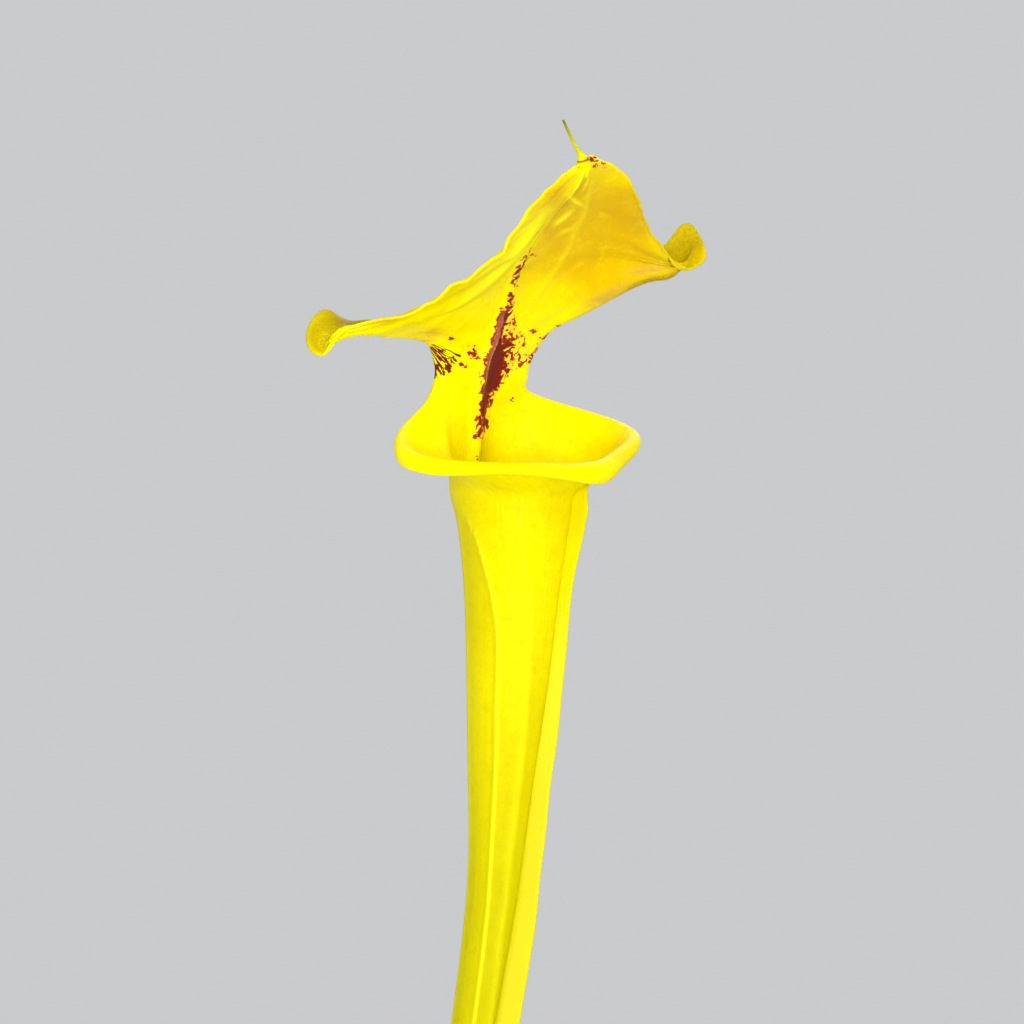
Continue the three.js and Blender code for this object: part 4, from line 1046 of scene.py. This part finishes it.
def pitcher_look():
    look = Look("pitcher_yellow", 0.5, 0.06)
    look.put(look.shader, {"Specular Tint": (1, 0.93, 0.45, 1)})
    look.glow(0.25)
    paint, span, times, plus, texture = look.paint, look.span, look.times, look.plus, look.noise
    place = look.place()
    height = look.parts(place)[2]
    flow = look.vector("flow_x", "flow_y", "flow_z")
    broad = texture(place, 0.05, 3, 0.6)
    soft = texture(place, 0.22, 4, 0.65)
    veins = texture(flow, 20, 3, 0.6, 0.25)
    fine = texture(flow, 44, 2, 0.6, 0.4)
    plain = times(span("lobe", 0, 0.5, 1, 0.25), span("blade", 0, 1, 1, 0.35))

    # Ground colour with painted shade in gold, then veins, mottling, and the tints, painted shade and
    # painted highlights of single places.
    # The painted shade in gold, with a random tone from broad noise.
    gold_share = plus("gold", span(broad, 0.35, 0.65, -0.14, 0.14), True)
    look.colour = look.mix(gold_share, rgb(246, 230, 0), rgb(216, 174, 0))
    paint(times(span(veins, 0.56, 0.66), plain), (186, 170, 0), 0.14)
    paint(times(span(fine, 0.58, 0.7), plain), (255, 248, 0), 0.15)
    mottle = texture(place, 0.9, 3, 0.7)
    paint(span(mottle, 0.5, 0.75), (222, 200, 0), 0.3)
    paint(span(mottle, 0.45, 0.28), (255, 250, 0), 0.3)
    paint(span(soft, 0.52, 0.72), (216, 184, 0), 0.3)
    paint(span(soft, 0.46, 0.3), (255, 246, 0), 0.25)
    paint(span(height, 460, 330, 0, 0.5), (196, 190, 6))
    look.darken(span(height, 494, 484), 0.8)
    look.darken(times(span(height, 430, 375), span("pale", 0, 1, 1, 0.3)), 0.88)
    # Painted shade beside the tube's ribs and at the wing's root, then painted highlights on the ribs.
    paint("shade", (190, 176, 0), 0.5)
    paint("light", (244, 238, 30), 0.75)
    paint("pale", (224, 212, 50), 0.6)
    # Painted shade, speckled, on the underside of the right lobe's roll.
    speckle = span(texture(place, 1.1, 2, 0.6), 0.4, 0.6, 0.6, 1)
    paint(times("under", speckle), (150, 128, 8), 0.9)
    # Painted shade on the back of the left lobe's rolled flap.
    paint("back", (128, 102, 4), 1.0)
    # Painted shadow right of the keel at the mouth's bottom.
    paint("dusk", (168, 156, 0), 0.5)
    paint("lines", (255, 246, 20), 1.4)
    paint("wing", (198, 186, 10), 0.4)
    # Painted sheen in dull violet, in streaks that run towards the lid's right tip.
    from_tip = look.vectors("SUBTRACT", place, (70, -30, 558))
    streak = texture(look.vectors("MULTIPLY", from_tip, (0.12, 0.12, 1.2)), 0.8, 3, 0.6)
    paint("mauve", (198, 158, 66), span(streak, 0.35, 0.65, 0.3, 0.9))
    grain = texture(place, 1.5, 3, 0.7)
    # Painted shade, grainy, on the outer face of the rolled lobes.
    paint(times("lobe", span(grain, 0.3, 0.7, 0.4, 0.9)), (168, 144, 0))
    paint("margin", (255, 248, 40), 0.15)

    # The midrib: a painted highlight along its crest and a line of painted shade on its right.
    paint(times(look.bell("midrib", -0.85, 0.5), "midrib_here"), (176, 152, 0), 0.45)
    off_mark = span("mark", -0.2, -0.6)
    paint(times(look.bell("midrib", 0.1, 0.35), "midrib_here", off_mark), (255, 250, 70), 0.6)

    # The netted marking: its level with noise added, cut off where it falls under 0.
    net = texture(look.place(0.8, 0.8, 1.1), 0.48, 2, 0.45, 1.2)
    cell = look.node("TexVoronoi", {"Vector": place, "Scale": 0.7}, feature="F1").outputs["Distance"]
    broken = plus(span(net, 0.4, 0.6, -1, 1.1), span(cell, 0.1, 0.75, 0.15, -0.3))
    level = plus("mark", times(broken, 0.8))
    halo = times(span(level, -0.6, 0, 0.2, 1), span("mark", -0.8, -0.25))
    paint(halo, (238, 166, 66), 0.8)
    dark = look.mix(span(level, 0.05, 0.8), rgb(178, 62, 28), rgb(108, 32, 24))
    paint(span(level, 0, 0.07), dark)
    on_mark = span("mark", -0.3, 0.2)
    stripe = times(span("midrib", -0.8, -0.5), span("midrib", 1.3, 1), on_mark)
    upper = times(span(height, 523, 530), span(height, 546, 542))
    paint(times(stripe, upper), (168, 94, 80), 0.75)
    # A painted highlight along the midrib's crest where it crosses the marking.
    edge = times(look.bell("midrib", 0.12, 0.28), on_mark)
    low_edge = times(span(height, 518, 522), span(height, 536, 528))
    paint(times(edge, low_edge), (236, 182, 120), 0.75)

    # Dark strokes that spread from the fold on the left.
    across, _, up = look.parts(look.vectors("SUBTRACT", place, (FOLD_X, 0, FOLD_Z)))
    angle = look.math("ARCTAN2", up, across)
    spread = look.math("SQRT", plus(times(across, across), times(up, up)))
    rays = texture(look.vector(times(angle, 12), times(spread, 0.3), 0), 1, 2, 0.5, 0.4)
    stroke = plus("stroke", span(rays, 0.38, 0.58, -1.5, -0.2))
    paint(span(stroke, 0, 0.12), (108, 30, 26))

    # The beak and bristle, brown at the root and olive to dark at the end.
    paint(span("thread", 0.35, 0.5), (186, 182, 6))
    paint(span("thread", 0.6, 1), (92, 98, 8))
    paint(look.bell("thread", 0.31, 0.03), (120, 44, 20), 0.9)
    bump = times(plus(times(veins, 0.7), times(fine, 0.35)), plain)
    bump = plus(bump, times(texture(place, 1.6, 2, 0.6), 0.35))
    bump = plus(bump, times(look.bell("midrib", 0, 0.5), "midrib_here", 2))
    return look.finish(bump, 0.4, 0.0005, span(soft, 0.3, 0.7, 0.36, 0.5))


def small_leaf_look(name, base, tip, vein, brown):
    look = Look(name, 0.45, 0.35)
    look.glow(0.08, 0.002)
    place = look.place()
    veins = look.noise(look.vector("flow_x", "flow_y", "flow_z"), 14, 3, 0.6, 0.1)
    look.colour = look.mix(look.span("far", 0, 0.9), rgb(*base), rgb(*tip))
    look.paint(look.times(look.span(look.noise(place, 0.12, 3), 0.45, 0.7), 0.4), vein)
    look.paint(look.times(look.span(veins, 0.5, 0.62), 0.45), vein)
    ending = look.plus("far", look.span(look.noise(place, 0.4, 2), 0.3, 0.7, -0.06, 0.06))
    look.paint(look.span(ending, 0.93, 0.99), brown)
    return look.finish(look.plus(veins, look.times(look.noise(place, 1.5), 0.3)), 0.4)


def soil_look(name, dark, middle, pale, scale, roughness=0.95):
    look = Look(name, roughness, 0.2)
    grain = look.noise(look.place(), scale, 5, 0.7)
    tone = look.plus("tone", look.span(grain, 0.3, 0.7, -0.35, 0.35), True)
    look.colour = look.mix(look.span(tone, 0, 0.5), rgb(*dark), rgb(*middle))
    look.paint(look.span(tone, 0.5, 1), pale)
    return look.finish(grain, 0.8, 0.0006)


def pot_look():
    look = Look("pot_brown_plastic", 0.48, 0.4)
    place = look.place()
    broad = look.noise(place, 0.03, 4, 0.6)
    dust = look.times(look.span(look.noise(place, 0.5, 5, 0.7), 0.52, 0.75), look.span(broad, 0.4, 0.65))
    look.colour = look.mix(broad, rgb(70, 55, 47), rgb(88, 70, 60))
    look.paint(look.times(dust, 0.4), (150, 135, 118))
    scratch = look.noise(look.place(0.15, 0.15, 2.2), 0.8, 3, 0.7)
    height = look.plus(look.times(look.noise(place, 2.5, 2), 0.5), look.times(scratch, 0.5))
    return look.finish(height, 0.25, 0.0003, look.span(dust, 0, 0.5, 0.4, 0.7))


def floor_look():
    look = Look("pale_floor", 0.7, 0.2)
    look.colour = look.mix(look.noise(look.place(), 0.006, 3), rgb(226, 225, 222), rgb(232, 231, 228))
    return look.finish()


# The object.
pitcher = Body()
pitcher_sheet(pitcher)
pitcher_wing(pitcher)
pitcher_tip(pitcher)
pitcher.make("pitcher_leaf", pitcher_look(), "pitcher_leaf", "pitcher")
young(small_leaf_look("young_yellow_green", (150, 150, 50), (205, 205, 40), (170, 160, 30), (150, 110, 40)))
green = small_leaf_look("sword_green", (150, 140, 60), (128, 148, 44), (104, 124, 36), (128, 88, 44))
for number, row in enumerate(SWORDS):
    sword(*row, green, number * 1.7)
stem(soil_look("stem_bark", (70, 44, 26), (116, 80, 46), (168, 120, 74), 0.5, 0.8))
pot(pot_look())
peat = soil_look("peat", (38, 25, 16), (66, 45, 29), (104, 76, 50), 0.45)
soil(peat)
grains("peat_crumbs", peat, 3000, (0.5, 2.0), 0.6, 3)
perlite = soil_look("perlite", (176, 168, 150), (216, 210, 198), (238, 234, 226), 0.8)
grains("perlite_bits", perlite, 260, (0.6, 1.7), 0.8, 5)
moss(soil_look("moss_green", (60, 84, 24), (104, 134, 40), (150, 172, 66), 0.3, 0.7))

# Floor, light and camera.
FLOOR_R, FLOOR_SIDES = 3200, 96
mesh = mesh_of("floor", hoop(FLOOR_R, 0, FLOOR_SIDES), [tuple(range(FLOOR_SIDES))])
mesh.materials.append(floor_look())
floor = placed("floor", mesh)
floor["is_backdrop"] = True

scene = bpy.context.scene
world = bpy.data.worlds.new("studio")
world.use_nodes = True
background = world.node_tree.nodes["Background"].inputs
background["Color"].default_value = (0.92, 0.93, 0.95, 1)
background["Strength"].default_value = 0.64
scene.world = world
scene.view_settings.view_transform = "Standard"

# Soft boxes turned to the pitcher: place and width in metres, watts, and how wide they spread in degrees.
AIM = Vector((0.012, 0, 0.47))
for name, where, size, watts, spread in (
        ("key", (-0.7, -1.3, 1.0), 0.5, 6, 180), ("front", (0.1, -1.5, 0.45), 0.55, 3.75, 90),
        ("fill", (0.75, -1.05, 1.2), 0.8, 7, 180), ("back", (0.3, 1.3, 1.2), 0.9, 6, 180)):
    light = bpy.data.lights.new(name, "AREA")
    light.size, light.energy, light.spread = size, watts, math.radians(spread)
    box = placed(name, light)
    box.location = where
    box.rotation_euler = (AIM - Vector(where)).to_track_quat("-Z", "Y").to_euler()

# The camera stands level and takes in 307.2 mm at the tube's distance.
SENSOR, AWAY, IN_VIEW = 36, 1500, 307.2
camera = bpy.data.cameras.new("camera")
camera.sensor_width = SENSOR
camera.lens = SENSOR * AWAY / IN_VIEW
camera.clip_end = 20
view = placed("camera", camera)
view.location = (0.0126, -AWAY * MM, 0.4836)
view.rotation_euler = (math.pi / 2, 0, 0)
scene.camera = view

size = {"cad": CAD_BOX, "scene": [list(corner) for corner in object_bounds()]}
